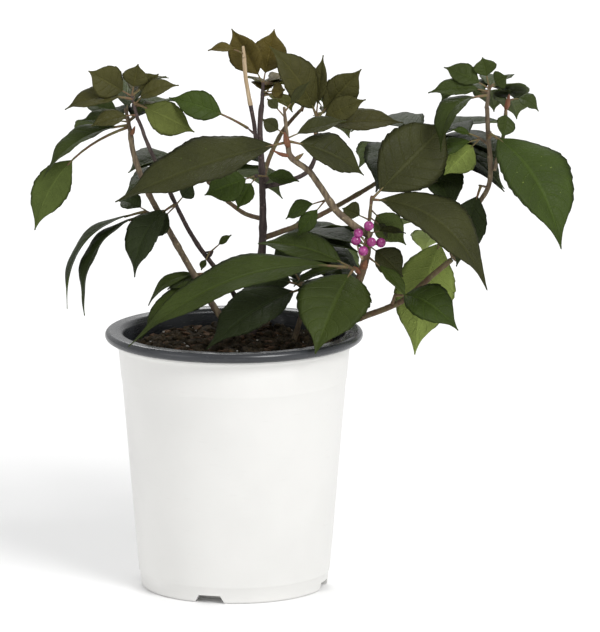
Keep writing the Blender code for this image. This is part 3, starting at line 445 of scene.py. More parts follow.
# Detail of the soil: its surface, then the clods, bark chips and perlite on it (number, least and
# largest size, and how flat they lie) and the rootlets
SOIL_RINGS = 60
SOIL_SECTORS = 170
SOIL_GRAIN = 0.22
SOIL_SINK = 0.4
SOIL_ROUGH = 1.5
SOIL_SKIRT = 14
CLODS = (520, 0.7, 2.2, 0.8)
CHIPS = (150, 0.8, 2.6, 0.35)
PERLITE = (90, 0.35, 0.8, 0.9)
GRAIN_EDGE = 0.6
GRAIN_TILT = 0.5
GRAIN_LENGTH = (0.8, 1.5)
GRAIN_LUMPS = 0.45
LUMP_SCALE = 1.6
LUMP_SHIFT = 90
GRAIN_LIFT = 0.25
ROOTLETS = 36
ROOTLET_EDGE = 9
ROOTLET_POINTS = 4
ROOTLET_STEP = (1.4, 2.4)
ROOTLET_BEND = 0.6
ROOTLET_RADII = (0.22, 0.12)
ROOTLET_RING = 6
ROOTLET_HEIGHT = 0.6
ROOTLET_WAVE = 0.5
ROOTLET_TURN = 1.3

# The camera stands where the photograph was taken from
CAMERA_PLACE = (0.0294, -3.0, 0.71)
CAMERA_PITCH = 11.09
CAMERA_LENS = 390.8
SENSOR = 36.0

# Lamps: place in metres, size in metres and power in watts. They look at a point on the pot's axis
LAMPS = (
    ("key", (1.5, -1.9, 2.2), 1.4, 62.0),
    ("fill", (-2.0, -1.6, 1.0), 1.6, 9.0),
    ("back", (-0.2, 2.0, 1.8), 1.4, 20.0),
)
LAMP_AIM = Vector((0, 0, 0.13))
WORLD_LIGHT = 0.66
FLOOR_HALF = 12
FLOOR_COLOUR = (0.92, 0.92, 0.92)

# Plain base colours: upper sides of the leaves by kind, and their undersides
LEAF_COLOURS = {
    "mature": ((0.027, 0.039, 0.006), (0.058, 0.078, 0.018)),
    "bronze": ((0.029, 0.031, 0.008), (0.070, 0.092, 0.024)),
    "tawny": ((0.043, 0.041, 0.010), (0.085, 0.100, 0.024)),
    "young": ((0.068, 0.052, 0.010), (0.120, 0.120, 0.025)),
    # The fresh undersides are light partly from their own paler tone and partly as painted light shining
    # through the leaf
    "fresh_with_painted_glow": ((0.030, 0.048, 0.006), (0.170, 0.215, 0.052)),
    "dusky": ((0.018, 0.026, 0.007), (0.055, 0.078, 0.018)),
}

# The sprays of each kind of leaf. The others are mature
LEAF_KINDS = {
    "bronze": ("leaves_berry_shoot", "leaves_diagonal_tip"),
    "tawny": ("leaves_mid_right_crown", "leaves_left_inner_crown"),
    "young": ("leaves_top_crown", "leaves_top_left"),
    # These leaves carry painted light shining through their undersides
    "fresh_with_painted_glow": ("leaf_top_left_side", "leaves_right_low", "leaves_right_elbow", "leaves_right_node",
              "leaf_right_large", "leaves_centre_ring", "leaves_diagonal_under"),
    "dusky": ("leaf_right_hanging", "leaves_centre_low", "leaves_left_outer_side",
              "leaves_left_inner_side", "leaves_back_right", "leaves_back_middle"),
}

# Light and dark colours of each bark, and the limbs of each. The others are tan
BARK_COLOURS = {
    "tan": ((0.200, 0.155, 0.095), (0.085, 0.060, 0.040)),
    "purple": ((0.085, 0.060, 0.055), (0.040, 0.028, 0.026)),
    "olive": ((0.125, 0.110, 0.050), (0.105, 0.060, 0.035)),
    "stalk": ((0.170, 0.085, 0.055), (0.130, 0.115, 0.045)),
    "cream": ((0.520, 0.420, 0.290), (0.340, 0.250, 0.150)),
    "ember": ((0.200, 0.090, 0.042), (0.120, 0.045, 0.026)),
}
LIMB_BARKS = {
    "purple": ("stem_centre", "stem_left_inner", "bough_top_left", "bough_mid_right"),
    "olive": ("stem_right_low", "stem_front", "bough_back_right", "bough_back_top", "bough_back_left"),
}

# Berries: skin colours, scatter of their size, the dents at both ends, and their twig and stalks
BERRY_BASE = (0.30, 0.022, 0.17)
BERRY_BLOOM = (0.40, 0.06, 0.26)
BERRY_SPECK = (0.55, 0.22, 0.42)
BERRY_SIZES = (0.96, 1.04)
BERRY_DENT_WIDTH = 0.35
BERRY_DENTS = (0.22, 0.3)
BERRY_ROOT = 0.85
BERRY_TWIG_RADII = (0.6, 0.45)
BERRY_TWIG_RING = 10
BERRY_STALK_RADII = (0.32, 0.42)
BERRY_STALK_RING = 8
BERRY_STALK_ARCH = 0.5
BERRY_STALK_END = 0.9

# A dead end of pale bare wood: its limb and the share of the limb where it starts
DEAD_END = ("bough_top_left", 0.52)

# Buds, bracts and stubs: limb, share of the limb, the way they point, length, radius and bark
BUDS = (
    ("bough_diagonal", 0.97, (-0.3, -0.5, 1.0), 7.5, 1.5, "ember"),
    ("bough_diagonal", 0.90, (-1.0, -0.4, 0.25), 9.0, 0.9, "ember"),
    ("bough_diagonal", 0.86, (0.8, -0.5, 0.5), 5.5, 1.0, "stalk"),
    ("stem_front", 0.80, (-0.5, -0.6, 1.0), 9.0, 0.9, "cream"),
    ("stem_front", 0.74, (0.3, -0.8, 0.8), 5.5, 1.7, "ember"),
    ("stem_front", 0.70, (-0.8, -0.5, 0.6), 5.0, 1.4, "ember"),
    ("bough_right_thin", 1.0, (0.2, -0.5, 1.0), 7.5, 1.2, "ember"),
    ("bough_right_upright", 0.80, (0.3, -0.8, 1.0), 4.5, 1.0, "stalk"),
    ("stem_left_inner", 0.35, (0.8, -0.6, 0.6), 4.5, 1.1, "purple"),
    ("stem_left_outer", 0.98, (0.5, -0.6, 1.0), 5.0, 1.0, "ember"),
    ("stem_centre", 0.66, (0.8, -0.6, 0.6), 4.5, 1.3, "purple"),
    ("bough_mid_right", 0.97, (-0.3, -0.8, 1.0), 4.5, 0.9, "stalk"),
)
BUD_STEPS = 12
BUD_RING = 12
BUD_RELIEF = 0.08
BUD_RISE = 0.12
BUD_FOOT = 0.55
BUD_BELLY = 0.75
BUD_SKEW = 0.9
BUD_TAPER = 0.55

# Groups of sprays that become one piece each
GROUPS = ("left", "centre", "right", "back")


def ring_faces(count, sides, closed_start=True, closed_end=True):
    """Faces that skin rings of points, each ring listed in turn."""
    faces = []
    for ring in range(count - 1):
        for side in range(sides):
            a = ring * sides + side
            b = ring * sides + (side + 1) % sides
            faces.append((a, b, b + sides, a + sides))
    if closed_start:
        faces.append(tuple(reversed(range(sides))))
    if closed_end:
        faces.append(tuple(range((count - 1) * sides, count * sides)))
    return faces


def polar(radius, angle, height=0.0):
    """A point at a radius, an angle and a height round the pot's axis."""
    return radius * math.cos(angle), radius * math.sin(angle), height


def turned(name, profile, material, sides):
    """A solid turned about Z from a closed profile of (radius, height) points. A point on the axis
    makes a pole."""
    vertices, rings = [], []
    for radius, height in profile:
        if radius == 0:
            rings.append([len(vertices)])
            vertices.append((0, 0, height))
            continue
        rings.append(list(range(len(vertices), len(vertices) + sides)))
        for side in range(sides):
            vertices.append(polar(radius, math.tau * side / sides, height))
    faces = []
    for ring, following in zip(rings, rings[1:] + rings[:1]):
        if len(ring) == 1 and len(following) == 1:
            continue
        for side in range(sides):
            after = (side + 1) % sides
            if len(ring) == 1:
                faces.append((ring[0], following[after], following[side]))
            elif len(following) == 1:
                faces.append((ring[side], ring[after], following[0]))
            else:
                faces.append((ring[side], ring[after], following[after], following[side]))
    return mesh_object(name, vertices, faces, [material])


def wall_radius(height):
    """Outer radius of the pot's wall at a height: a straight taper up to the faint shoulder."""
    if height <= SHOULDER_HEIGHT:
        return BASE_RADIUS + (SHOULDER_RADIUS - BASE_RADIUS) * height / SHOULDER_HEIGHT
    share = (height - SHOULDER_HEIGHT) / (WALL_TOP - SHOULDER_HEIGHT)
    return SHOULDER_RADIUS + (WALL_TOP_RADIUS - SHOULDER_RADIUS) * share


def apply_boolean(target, operation, others):
    """Joins or cuts the target by a collection of objects, applies it and removes those objects."""
    group = bpy.data.collections.new("tools")
    bpy.context.scene.collection.children.link(group)
    for other in others:
        group.objects.link(other)
    modifier = target.modifiers.new("join", "BOOLEAN")
    modifier.operation = operation
    modifier.operand_type = "COLLECTION"
    modifier.collection = group
    bpy.context.view_layer.update()
    state = bpy.context.evaluated_depsgraph_get()
    target.data = bpy.data.meshes.new_from_object(target.evaluated_get(state))
    target.modifiers.clear()
    for other in others:
        bpy.data.objects.remove(other, do_unlink=True)
    bpy.data.collections.remove(group)


def recess_block(angle, half_width, slope, depth, outer, low, high, name, material):
    """A block round a radius of the foot, narrower at its top, for a drain recess or its lid."""
    out = Vector(polar(1, angle))
    across = Vector((-out.y, out.x, 0))
    corners = []
    for height, narrowing in ((low, 0), (high, slope)):
        for radius in (outer - depth, outer):
            for sign in (-1, 1):
                corners.append(out * radius + across * sign * (half_width - narrowing) + UP * height)
    faces = [(0, 1, 3, 2), (4, 6, 7, 5), (0, 2, 6, 4), (1, 5, 7, 3), (0, 4, 5, 1), (2, 3, 7, 6)]
    return mesh_object(name, corners, faces, [material])


def soil_height(x, y):
    """Height of the soil's surface: it rises a little to the back and falls near the pot's wall."""
    radius = math.hypot(x, y)
    level = SOIL_LEVEL + SOIL_BACK_RISE * y
    if radius > SOIL_SHOULDER:
        share = (radius - SOIL_SHOULDER) / (SOIL_REACH - SOIL_SHOULDER)
        level -= SOIL_EDGE_DROP * share ** 2
        level += SOIL_LEFT_DROP * share ** 2 * min(0.0, x / radius)
    return level


def smooth_path(points, step):
    """Points about a step apart on a smooth curve through the given ones."""
    points = [Vector(p) for p in points]
    if len(points) == 2:
        return points
    ends = [points[0] * 2 - points[1]] + points + [points[-1] * 2 - points[-2]]
    path = []
    for number in range(1, len(ends) - 2):
        before, start, end, after = ends[number - 1:number + 3]
        count = max(1, round((end - start).length / step))
        for part in range(count):
            t = part / count
            path.append(0.5 * (2 * start + (end - before) * t
                               + (2 * before - 5 * start + 4 * end - after) * t ** 2
                               + (3 * start - before - 3 * end + after) * t ** 3))
    path.append(points[-1])
    return path


def tube(path, radii, sides, flat_foot=False):
    """Rings of a tapering round limb along a path, and its faces."""
    vertices = []
    total = sum((b - a).length for a, b in zip(path, path[1:]))
    gone = 0.0
    across = Vector((0, 1, 0))
    for number, point in enumerate(path):
        before = path[max(number - 1, 0)]
        after = path[min(number + 1, len(path) - 1)]
        along = (after - before).normalized()
        if number == 0 and flat_foot:
            along = UP
        if number:
            gone += (point - path[number - 1]).length
        side = across - along * across.dot(along)
        if side.length < LEAST_SIDE:
            side = Vector((1, 0, 0)) - along * along.x
        side.normalize()
        across = side
        other = along.cross(side)
        radius = radii[0] + (radii[1] - radii[0]) * gone / total
        for corner in range(sides):
            angle = math.tau * corner / sides
            vertices.append(point + side * radius * math.cos(angle) + other * radius * math.sin(angle))
    return vertices, ring_faces(len(path), sides)


def point_on(path, share):
    """The point and the direction of a path at a share of its length."""
    lengths = [(b - a).length for a, b in zip(path, path[1:])]
    left = share * sum(lengths)
    for number, length in enumerate(lengths):
        if left <= length or number == len(lengths) - 1:
            start, end = path[number], path[number + 1]
            return start.lerp(end, min(left / length, 1.0)), (end - start).normalized()
        left -= length
    raise ValueError("an empty path")


def start_beside(parent, share, direction, radius):
    """Where a twig or bough of a radius starts so that its flat end is clear of the parent limb."""
    path, radii = parent
    point, along = point_on(path, share)
    direction = direction.normalized()
    if share >= 1.0:
        return point + along * (GAP + radius * math.sin(along.angle(direction)))
    parent_radius = radii[0] + (radii[1] - radii[0]) * share
    cosine = direction.dot(along)
    outward = direction - along * cosine
    outward = outward.normalized() if outward.length else along.orthogonal().normalized()
    return point + outward * (parent_radius + GAP + radius * abs(cosine))


def limb_paths():
    """The path and radii of every limb, each bough starting clear of the limb that carries it."""
    paths = {}
    for name, limb in LIMBS.items():
        points = [Vector(p) for p in limb["points"]]
        if "parent" in limb:
            start = start_beside(paths[limb["parent"]], limb["at"],
                                 points[0] - point_on(paths[limb["parent"]][0], limb["at"])[0],
                                 limb["radii"][0])
            points = [start] + points
        else:
            foot = points[0]
            spread = limb["radii"][0]
            foot.z = GAP + FOOT_CLEARANCE + max(soil_height(foot.x + spread * dx, foot.y + spread * dy)
                                                 for dx in (-1, 0, 1) for dy in (-1, 0, 1))
        paths[name] = (smooth_path(points, LIMB_STEP), limb["radii"])
    return paths


class Blade:
    """A leaf's midrib and the frame of its blade at any share of its length."""

    def __init__(self, base, spec, reach):
        self.base = base
        self.spec = spec
        self.reach = reach
        self.length = self.reach.length
        self.face = Vector(spec["face"]).normalized()
        chord = self.reach.normalized()
        out = (self.face - chord * self.face.dot(chord)).normalized()
        arch = spec["arch"] if spec["arch"] is not None else self.length * ARCH_SHARE
        self.bend = out * 2 * arch + chord.cross(out) * 2 * spec["bow"]
        self.stalk = min(spec["stalk"] / self.length, MOST_STALK)

    def at(self, share):
        """The point, direction, side and upper direction at a share of the length."""
        control = self.base + self.reach / 2 + self.bend
        tip = self.base + self.reach
        point = (self.base * (1 - share) ** 2 + control * 2 * share * (1 - share) + tip * share ** 2)
        along = ((control - self.base) * (1 - share) + (tip - control) * share).normalized()
        upper = (self.face - along * self.face.dot(along)).normalized()
        return point, along, along.cross(upper), upper

    def half_width(self, share):
        """Half the width at a share of the blade: narrow at its base, drawn out to a point."""
        return self.spec["width"] / 2 * math.sin(math.pi * share ** WIDEST_AT) ** OUTLINE_POWER


def leaf_solid(blade, skin=0.0, first=0):
    """The closed mesh of one leaf from its root in the twig to its tip, thicker by a skin where it is
    only used to test for room."""
    vertices = []
    thick = max(blade.length * LEAF_THICKNESS, LEAF_LEAST_THICKNESS) / 2 + skin
    fold = math.radians(blade.spec["fold"])
    stalk_radius = STALK_RADIUS + skin
    rings = [("stalk", 0.0), ("stalk", blade.stalk * 0.5)] + [("blade", s) for s in LEAF_STATIONS]
    for kind, station in rings[first:]:
        share = station if kind == "stalk" else blade.stalk + (1 - blade.stalk) * station
        point, along, side, upper = blade.at(share)
        half = blade.half_width(station) if kind == "blade" else 0.0
        half = max(half + skin, stalk_radius)
        depth = max(thick, stalk_radius * (1 - station)) if kind == "blade" else stalk_radius
        lift = math.sin(fold) * (half - stalk_radius)
        flat = stalk_radius + math.cos(fold) * (half - stalk_radius)
        vertices += [point - side * flat + upper * lift, point + upper * depth,
                     point + side * flat + upper * lift, point - upper * depth]
    count = len(rings) - first
    faces = ring_faces(count, 4, closed_end=False)
    tip = blade.base + blade.reach * (1 + skin / blade.length)
    vertices.append(tip)
    last = (count - 1) * 4
    faces += [(last + side, last + (side + 1) % 4, last + 4) for side in range(4)]
    return vertices, faces


def tree_of(vertices, faces):
    """A search tree of a mesh, for tests of touching."""
    return BVHTree.FromPolygons(vertices, faces)


def swung(reach, shift):
    """A leaf's reach swung back by a depth, so that it looks the same from the front."""
    return Vector(reach) + Vector((0, shift, -VIEW_SLOPE * shift))


def settle_leaf(base, spec, own_parts, others, swings):
    """The blade that touches nothing: as it is, or swung back or forward in growing steps."""
    for number in range(swings * 2 + 1):
        shift = SWING_STEP * ((number + 1) // 2) * (1 if number % 2 else -1)
        blade = Blade(base, spec, swung(spec["reach"], shift))
        whole = tree_of(*leaf_solid(blade, SKIN))
        if any(whole.overlap(tree) for tree in others):
            continue
        outer = tree_of(*leaf_solid(blade, OUTER_SKIN, first=OUTER_RING))
        if any(outer.overlap(tree) for tree in own_parts):
            continue
        return blade
    return None


def rule_leaves(rule, dice):
    """Leaves by the seeded rule: opposite pairs up the twig, each pair turned from the one below."""
    leaves = []
    for number in range(rule["count"]):
        pair, side = divmod(number, 2)
        turn = rule["look"] + (side * 2 - 1) * rule["spread"] / 2 * dice.uniform(*RULE_OPENING)
        turn += RULE_TURN * (pair % 2)
        rise = math.radians(dice.uniform(*RULE_RISE))
        length = dice.uniform(*rule["length"])
        azimuth = math.radians(turn)
        ahead = Vector((math.cos(azimuth) * math.cos(rise), math.sin(azimuth) * math.cos(rise),
                        math.sin(rise)))
        reach = ahead * length - UP * length * RULE_DROOP
        face = UP + Vector((ahead.x, ahead.y, 0)) * dice.uniform(*RULE_LEAN)
        along = RULE_START + (1 - RULE_START) * (number + 1) / rule["count"]
        leaves.append(leaf(along, tuple(reach), length * RULE_WIDTH, face=tuple(face),
                           arch=length * RULE_ARCH, fold=dice.uniform(*RULE_FOLD)))
    return leaves


def in_space(blade, space):
    """Whether a leaf keeps to its space as seen from the front."""
    low_x, high_x, low_z, high_z = space
    for share in SPACE_SHARES:
        point = blade.at(share)[0]
        seen = point.z + VIEW_SLOPE * point.y
        if not (low_x <= point.x <= high_x and low_z <= seen <= high_z):
            return False
    return True


def grow(paths, obstacles):
    """Every spray's twig and blades. The leaves that show are placed first, then those of the rule."""
    grown = {}
    for name, spray in SPRAYS.items():
        twig = Vector(spray["twig"])
        start = start_beside(paths[spray["limb"]], spray["at"], twig, spray["radius"])
        path = [start, start + twig]
        mesh = tube(path, (spray["radius"], spray["radius"] * TWIG_TAPER), TWIG_SIDES)
        grown[name] = dict(path=path, blades=[], wholes=[tree_of(*mesh)], outers=[])

    def place(name, spec, space=None):
        """Adds a leaf where it finds room, and says whether it did."""
        spray = grown[name]
        base = spray["path"][0].lerp(spray["path"][1], min(spec["along"], ROOT_LIMIT))
        others = list(obstacles.values())
        for other in grown:
            if other != name:
                others += grown[other]["wholes"]
        blade = settle_leaf(base, spec, spray["outers"], others,
                            RULE_SWINGS if space else SWINGS)
        if blade is None or (space and not in_space(blade, space)):
            return False
        spray["blades"].append(blade)
        spray["wholes"].append(tree_of(*leaf_solid(blade)))
        spray["outers"].append(tree_of(*leaf_solid(blade, 0.0, first=OUTER_RING)))
        return True

    for name, spray in SPRAYS.items():
        for spec in spray["leaves"]:
            place(name, spec)
    for order, (name, spray) in enumerate(SPRAYS.items()):
        rule = spray["rule"]
        if not rule:
            continue
        dice = random.Random(SEED + order)
        placed = 0
        for attempt in range(RULE_TRIES):
            for spec in rule_leaves(rule, dice):
                if placed < rule["count"] and place(name, spec, rule["space"]):
                    placed += 1
    return grown


def group_of(name):
    """The group of sprays that a spray belongs to."""
    if "back" in name:
        return "back"
    if "left" in name:
        return "left"
    if "right" in name or "berry_shoot" in name:
        return "right"
    return "centre"


def kind_in(kinds, name, usual):
    """The kind that a name is listed under, or the usual one."""
    for kind, names in kinds.items():
        if name in names:
            return kind
    return usual


def new_object(name, data):
    """An object in the scene that holds a mesh, a lamp or the camera."""
    obj = bpy.data.objects.new(name, data)
    bpy.context.scene.collection.objects.link(obj)
    return obj


def mesh_object(name, vertices, faces, materials, kinds=None, uvs=None):
    """A smooth mesh object in metres from points in millimetres, with its faces pointing out."""
    mesh = bpy.data.meshes.new(name)
    mesh.from_pydata([tuple(c * MM for c in v) for v in vertices], [], faces)
    for material in materials:
        mesh.materials.append(material)
    if kinds:
        mesh.polygons.foreach_set("material_index", kinds)
    if uvs:
        layer = mesh.uv_layers.new(name="blade")
        layer.data.foreach_set("uv", [c for loop in mesh.loops for c in uvs[loop.vertex_index]])
    mesh.polygons.foreach_set("use_smooth", [True] * len(mesh.polygons))
    shape = bmesh.new()
    shape.from_mesh(mesh)
    bmesh.ops.recalc_face_normals(shape, faces=shape.faces)
    shape.to_mesh(mesh)
    shape.free()
    return new_object(name, mesh)


def add_piece(obj, slot, *nodes):
    """Puts a piece on the object: it rides on the root and stands for its nodes."""
    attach(obj, "root")
    if nodes:
        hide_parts(*nodes)


class Nodes:
    """A short way to write a material's nodes."""

    def __init__(self, name, roughness, specular):
        self.material = bpy.data.materials.new(name)
        self.material.use_nodes = True
        self.tree = self.material.node_tree
        self.shader = self.tree.nodes["Principled BSDF"]
        self.shader.inputs["Roughness"].default_value = roughness
        self.shader.inputs["Specular IOR Level"].default_value = specular
        self.place = self.tree.nodes.new("ShaderNodeTexCoord").outputs["Object"]

    def add(self, kind, inputs, **settings):
        """The outputs of a new node, with its properties set and its inputs fed by number or name."""
        node = self.tree.nodes.new("ShaderNode" + kind)
        for key, value in settings.items():
            setattr(node, key, value)
        for key, value in inputs.items():
            self.feed(node.inputs[key], value)
        return node.outputs

    def feed(self, socket, value):
        """Sets a socket to a number or colour, or links it to another node's output."""
        if isinstance(value, bpy.types.NodeSocket):
            self.tree.links.new(value, socket)
        elif socket.type == "RGBA":
            socket.default_value = (*value, 1)
        else:
            socket.default_value = value

    def math(self, operation, first, second=0.0):
        """The result of one Math node."""
        return self.add("Math", {0: first, 1: second}, operation=operation)[0]

    def plus(self, first, second):
        """The sum of two values."""
        return self.math("ADD", first, second)

    def times(self, first, second):
        """The product of two values."""
        return self.math("MULTIPLY", first, second)

    def off(self, value, middle):
        """How far a value is from a middle one."""
        return self.math("ABSOLUTE", self.math("SUBTRACT", value, middle))

    def mix(self, share, first, second):
        """A mix of two colours."""
        return self.add("Mix", {0: share, 6: first, 7: second}, data_type="RGBA")[2]

    def tint(self, colour, mask, strength, other):
        """A colour with another laid over it by a mask of some strength."""
        return self.mix(self.times(mask, strength), colour, other)

    def noise(self, scale, detail, place=None):
        """A noise value in object space, with its scale in cells per metre."""
        where = self.place if place is None else place
        return self.add("TexNoise", dict(Vector=where, Scale=scale, Detail=detail))[0]

    def cells(self, scale, feature="F1"):
        """The distance to the middle or the edge of the nearest cell."""
        return self.add("TexVoronoi", dict(Vector=self.place, Scale=scale), feature=feature)[0]

    def stretched(self, upright):
        """The place with its height scaled, so that a pattern runs up or round the object."""
        return self.add("Mapping", dict(Vector=self.place, Scale=(1.0, 1.0, upright)))[0]

    def ramp(self, value, low, high):
        """A value stretched so that low becomes 0 and high becomes 1."""
        inputs = {"Value": value, "From Min": low, "From Max": high}
        return self.add("MapRange", inputs, interpolation_type="SMOOTHSTEP")[0]

    def fall(self, value, low, high):
        """A value stretched so that low becomes 1 and high becomes 0."""
        return self.math("SUBTRACT", 1.0, self.ramp(value, low, high))

    def finish(self, colour, height, strength, distance, roughness=None):
        """The material with its colour, relief and uneven roughness fed to the shader."""
        self.feed(self.shader.inputs["Base Color"], colour)
        relief = self.add("Bump", dict(Height=height, Strength=strength, Distance=distance))[0]
        self.feed(self.shader.inputs["Normal"], relief)
        if roughness is not None:
            self.feed(self.shader.inputs["Roughness"], roughness)
        return self.material


def scaled(colour, factor):
    """A colour made lighter or darker."""
    return tuple(min(c * factor, 1.0) for c in colour)


def leaf_material(name, base, under):
    """A leaf's surface: veins that run from the midrib to the teeth, finer netting and soft blotches.
    An underside is rougher, and its veins stand out."""
    nodes = Nodes(name, 0.62 if under else 0.5, 0.1 if under else 0.16)
    uv = nodes.add("SeparateXYZ", {0: nodes.add("UVMap", {}, uv_map="blade")[0]})
    phase = nodes.plus(uv[1], nodes.times(nodes.noise(160.0, 2.0), 0.1))
    side_veins = nodes.ramp(nodes.off(nodes.math("FRACT", phase), 0.5), 0.42, 0.495)
    midrib = nodes.fall(nodes.off(uv[0], 0.5), 0.012, 0.045)
    veins = nodes.math("MAXIMUM", nodes.times(side_veins, 0.75), midrib)
    net = nodes.fall(nodes.cells(620.0, "DISTANCE_TO_EDGE"), 0.0, 0.16)
    blotch = nodes.ramp(nodes.noise(52.0, 4.0), 0.32, 0.7)
    fine = nodes.noise(900.0, 3.0)
    vein_colour = scaled(base, 1.55 if under else 1.9)
    colour = nodes.mix(blotch, scaled(base, 0.78), scaled(base, 1.28))
    colour = nodes.tint(colour, fine, 0.35, scaled(base, 1.5))
    colour = nodes.tint(colour, net, 0.14, vein_colour)
    colour = nodes.tint(colour, veins, 0.5, vein_colour)
    height = nodes.plus(nodes.times(veins, 1.0 if under else -1.0), nodes.times(net, 0.4 if under else -0.3))
    roughness = nodes.plus(nodes.times(fine, 0.22), 0.55 if under else 0.42)
    return nodes.finish(colour, height, 0.75, 0.0004, roughness)


def bark_material(name, light, dark):
    """Young bark: streaks along the stem, pale raised pores and dark flecks."""
    nodes = Nodes(name, 0.7, 0.3)
    streaks = nodes.ramp(nodes.noise(700.0, 4.0, nodes.stretched(0.18)), 0.35, 0.68)
    blotch = nodes.ramp(nodes.noise(90.0, 3.0), 0.35, 0.7)
    pores = nodes.fall(nodes.cells(330.0), 0.12, 0.26)
    colour = nodes.mix(streaks, dark, light)
    colour = nodes.tint(colour, blotch, 0.45, scaled(dark, 1.25))
    colour = nodes.tint(colour, pores, 0.55, scaled(light, 1.7))
    return nodes.finish(colour, nodes.plus(streaks, nodes.times(pores, 1.2)), 0.6, 0.0003)


def plastic_material(name, base, roughness, mottle, streak):
    """Moulded plastic: a faint mottle, fine scuffs round the wall and a soft sheen."""
    nodes = Nodes(name, roughness, 0.5)
    cloud = nodes.ramp(nodes.noise(22.0, 4.0), 0.35, 0.75)
    scuffs = nodes.ramp(nodes.noise(160.0, 6.0, nodes.stretched(7.0)), 0.6, 0.78)
    colour = nodes.mix(cloud, base, scaled(base, mottle))
    colour = nodes.tint(colour, scuffs, 0.25, scaled(base, streak))
    roughness = nodes.plus(nodes.times(scuffs, 0.16), roughness)
    return nodes.finish(colour, nodes.noise(1400.0, 2.0), 0.08, 0.0002, roughness)


def soil_material(name, dark, light):
    """Damp peat: dark crumbs with brown fibres."""
    nodes = Nodes(name, 0.92, 0.2)
    crumbs = nodes.noise(420.0, 6.0)
    fibres = nodes.ramp(nodes.noise(1500.0, 3.0), 0.45, 0.72)
    colour = nodes.mix(nodes.ramp(crumbs, 0.4, 0.7), dark, light)
    colour = nodes.tint(colour, fibres, 0.5, scaled(light, 1.8))
    return nodes.finish(colour, nodes.plus(crumbs, nodes.times(fibres, 0.4)), 1.0, 0.0012)


def berry_material():
    """A glossy violet berry skin with a soft bloom and small pale specks."""
    nodes = Nodes("berry_skin", 0.24, 0.6)
    bloom = nodes.ramp(nodes.noise(380.0, 4.0), 0.35, 0.75)
    specks = nodes.fall(nodes.cells(1500.0), 0.1, 0.22)
    colour = nodes.mix(bloom, scaled(BERRY_BASE, 0.75), BERRY_BLOOM)
    return nodes.finish(nodes.tint(colour, specks, 0.3, BERRY_SPECK), specks, 0.12, 0.0002)


def smooth_share(value):
    """A soft step from 0 to 1."""
    value = min(max(value, 0.0), 1.0)
    return value * value * (3 - 2 * value)


def fine_leaf(blade, dice):
    """One leaf's real surface: a toothed outline, sunk veins, rounded fold and a wavy margin. Its
    rings run round the upper side and back along the underside. Gives the points, the faces, which
    faces are underside (1) and the place of each point on the blade."""
    fold = math.radians(blade.spec["fold"])
    blade_length = blade.length * (1 - blade.stalk)
    veins = max(LEAST_VEINS, round(blade_length * VEINS_EACH_MM))
    teeth = max(LEAST_TEETH, round(blade_length * TEETH_EACH_MM))
    wave_turn = dice.uniform(0, math.tau)
    waves = dice.uniform(*WAVES)
    drop = dice.uniform(*DROP)
    steps = BLADE_STEPS if blade.length > SMALL_LEAF else BLADE_STEPS // 2
    vertices, uvs = [], []
    for step in range(steps):
        station = BLADE_FROM + BLADE_SPAN * step / (steps - 1)
        point, along, side, upper = blade.at(blade.stalk + (1 - blade.stalk) * station)
        drawn = DRAWN_TIP * smooth_share((station - DRAWN_FROM) / DRAWN_LENGTH)
        half = max(blade.half_width(station) * (1 - drawn), LEAST_HALF_WIDTH)
        fade = min(1.0, station * END_FADE, (1 - station) * END_FADE)
        margin = 1 - TOOTH / 2 + ((station * teeth) % 1.0) * TOOTH * fade
        top, under = [], []
        for column in range(-BLADE_COLUMNS, BLADE_COLUMNS + 1):
            across = column / BLADE_COLUMNS
            size = abs(across)
            reach = half * across * (margin if size == 1.0 else 1)
            phase = (station - VEIN_SLANT * size ** VEIN_CURVE) * veins
            swell = (1 - math.cos(math.tau * phase)) * math.sin(math.pi * min(size * QUILT_REACH, 1))
            turn = math.tau * waves * station + wave_turn + (WAVE_LAG if across > 0 else 0)
            lift = math.sin(fold) * half * (size - drop * size * size)
            lift += QUILT * half * fade * swell
            lift -= MIDRIB_DEPTH * half * math.exp(-(across / MIDRIB_WIDTH) ** 2)
            lift += WAVE * blade_length * size ** 2 * fade * math.sin(turn)
            place = point + side * reach * math.cos(fold * FOLD_SPREAD) + upper * lift
            uv = (0.5 + across / 2, phase)
            top.append((place, uv))
            if size < 1.0:
                under.append((place - upper * BLADE_THICKNESS, uv))
        for place, uv in top + under[::-1]:
            vertices.append(place)
            uvs.append(uv)
    vertices.append(blade.base + blade.reach)
    uvs.append((0.5, float(veins)))
    ring = BLADE_COLUMNS * 4
    last = (steps - 1) * ring
    faces = ring_faces(steps, ring, closed_end=False)
    faces += [(last + number, last + (number + 1) % ring, last + ring) for number in range(ring)]
    upper_first = [0 if number < BLADE_COLUMNS * 2 else 1 for number in range(ring)]
    return vertices, faces, upper_first * (steps - 1) + [0] + upper_first, uvs


def fine_tube(path, radii, sides, dice, relief=BARK_RELIEF, node_every=NODE_EVERY):
    """A limb's real surface: its taper, swollen nodes, and low relief along the bark."""
    shift = Vector([dice.uniform(0, GRAIN_SHIFT) for axis in range(3)])
    vertices, faces = tube(path, radii, sides)
    total = sum((b - a).length for a, b in zip(path, path[1:]))
    gone = 0.0
    for number, point in enumerate(path):
        if number:
            gone += (point - path[number - 1]).length
        swell = 0.0
        if node_every:
            place = (gone + node_every * NODE_START) % node_every - node_every / 2
            swell = NODE_SWELL * math.exp(-(place / NODE_SPREAD) ** 2)
        if total - gone < END_LENGTH:
            swell -= END_TAPER
        for index in range(number * sides, (number + 1) * sides):
            spot = vertices[index]
            grain = noise.noise(Vector([c * scale for c, scale in zip(spot, BARK_GRAIN)]) + shift)
            vertices[index] = point + (spot - point) * (1 + swell + relief * grain * 2)
    return vertices, faces


def twig_path(path, run, step):
    """A twig's path, run back into the limb that carries it."""
    direction = (path[1] - path[0]).normalized()
    return smooth_path([path[0] - direction * run, path[0].lerp(path[1], 0.5), path[1]], step)


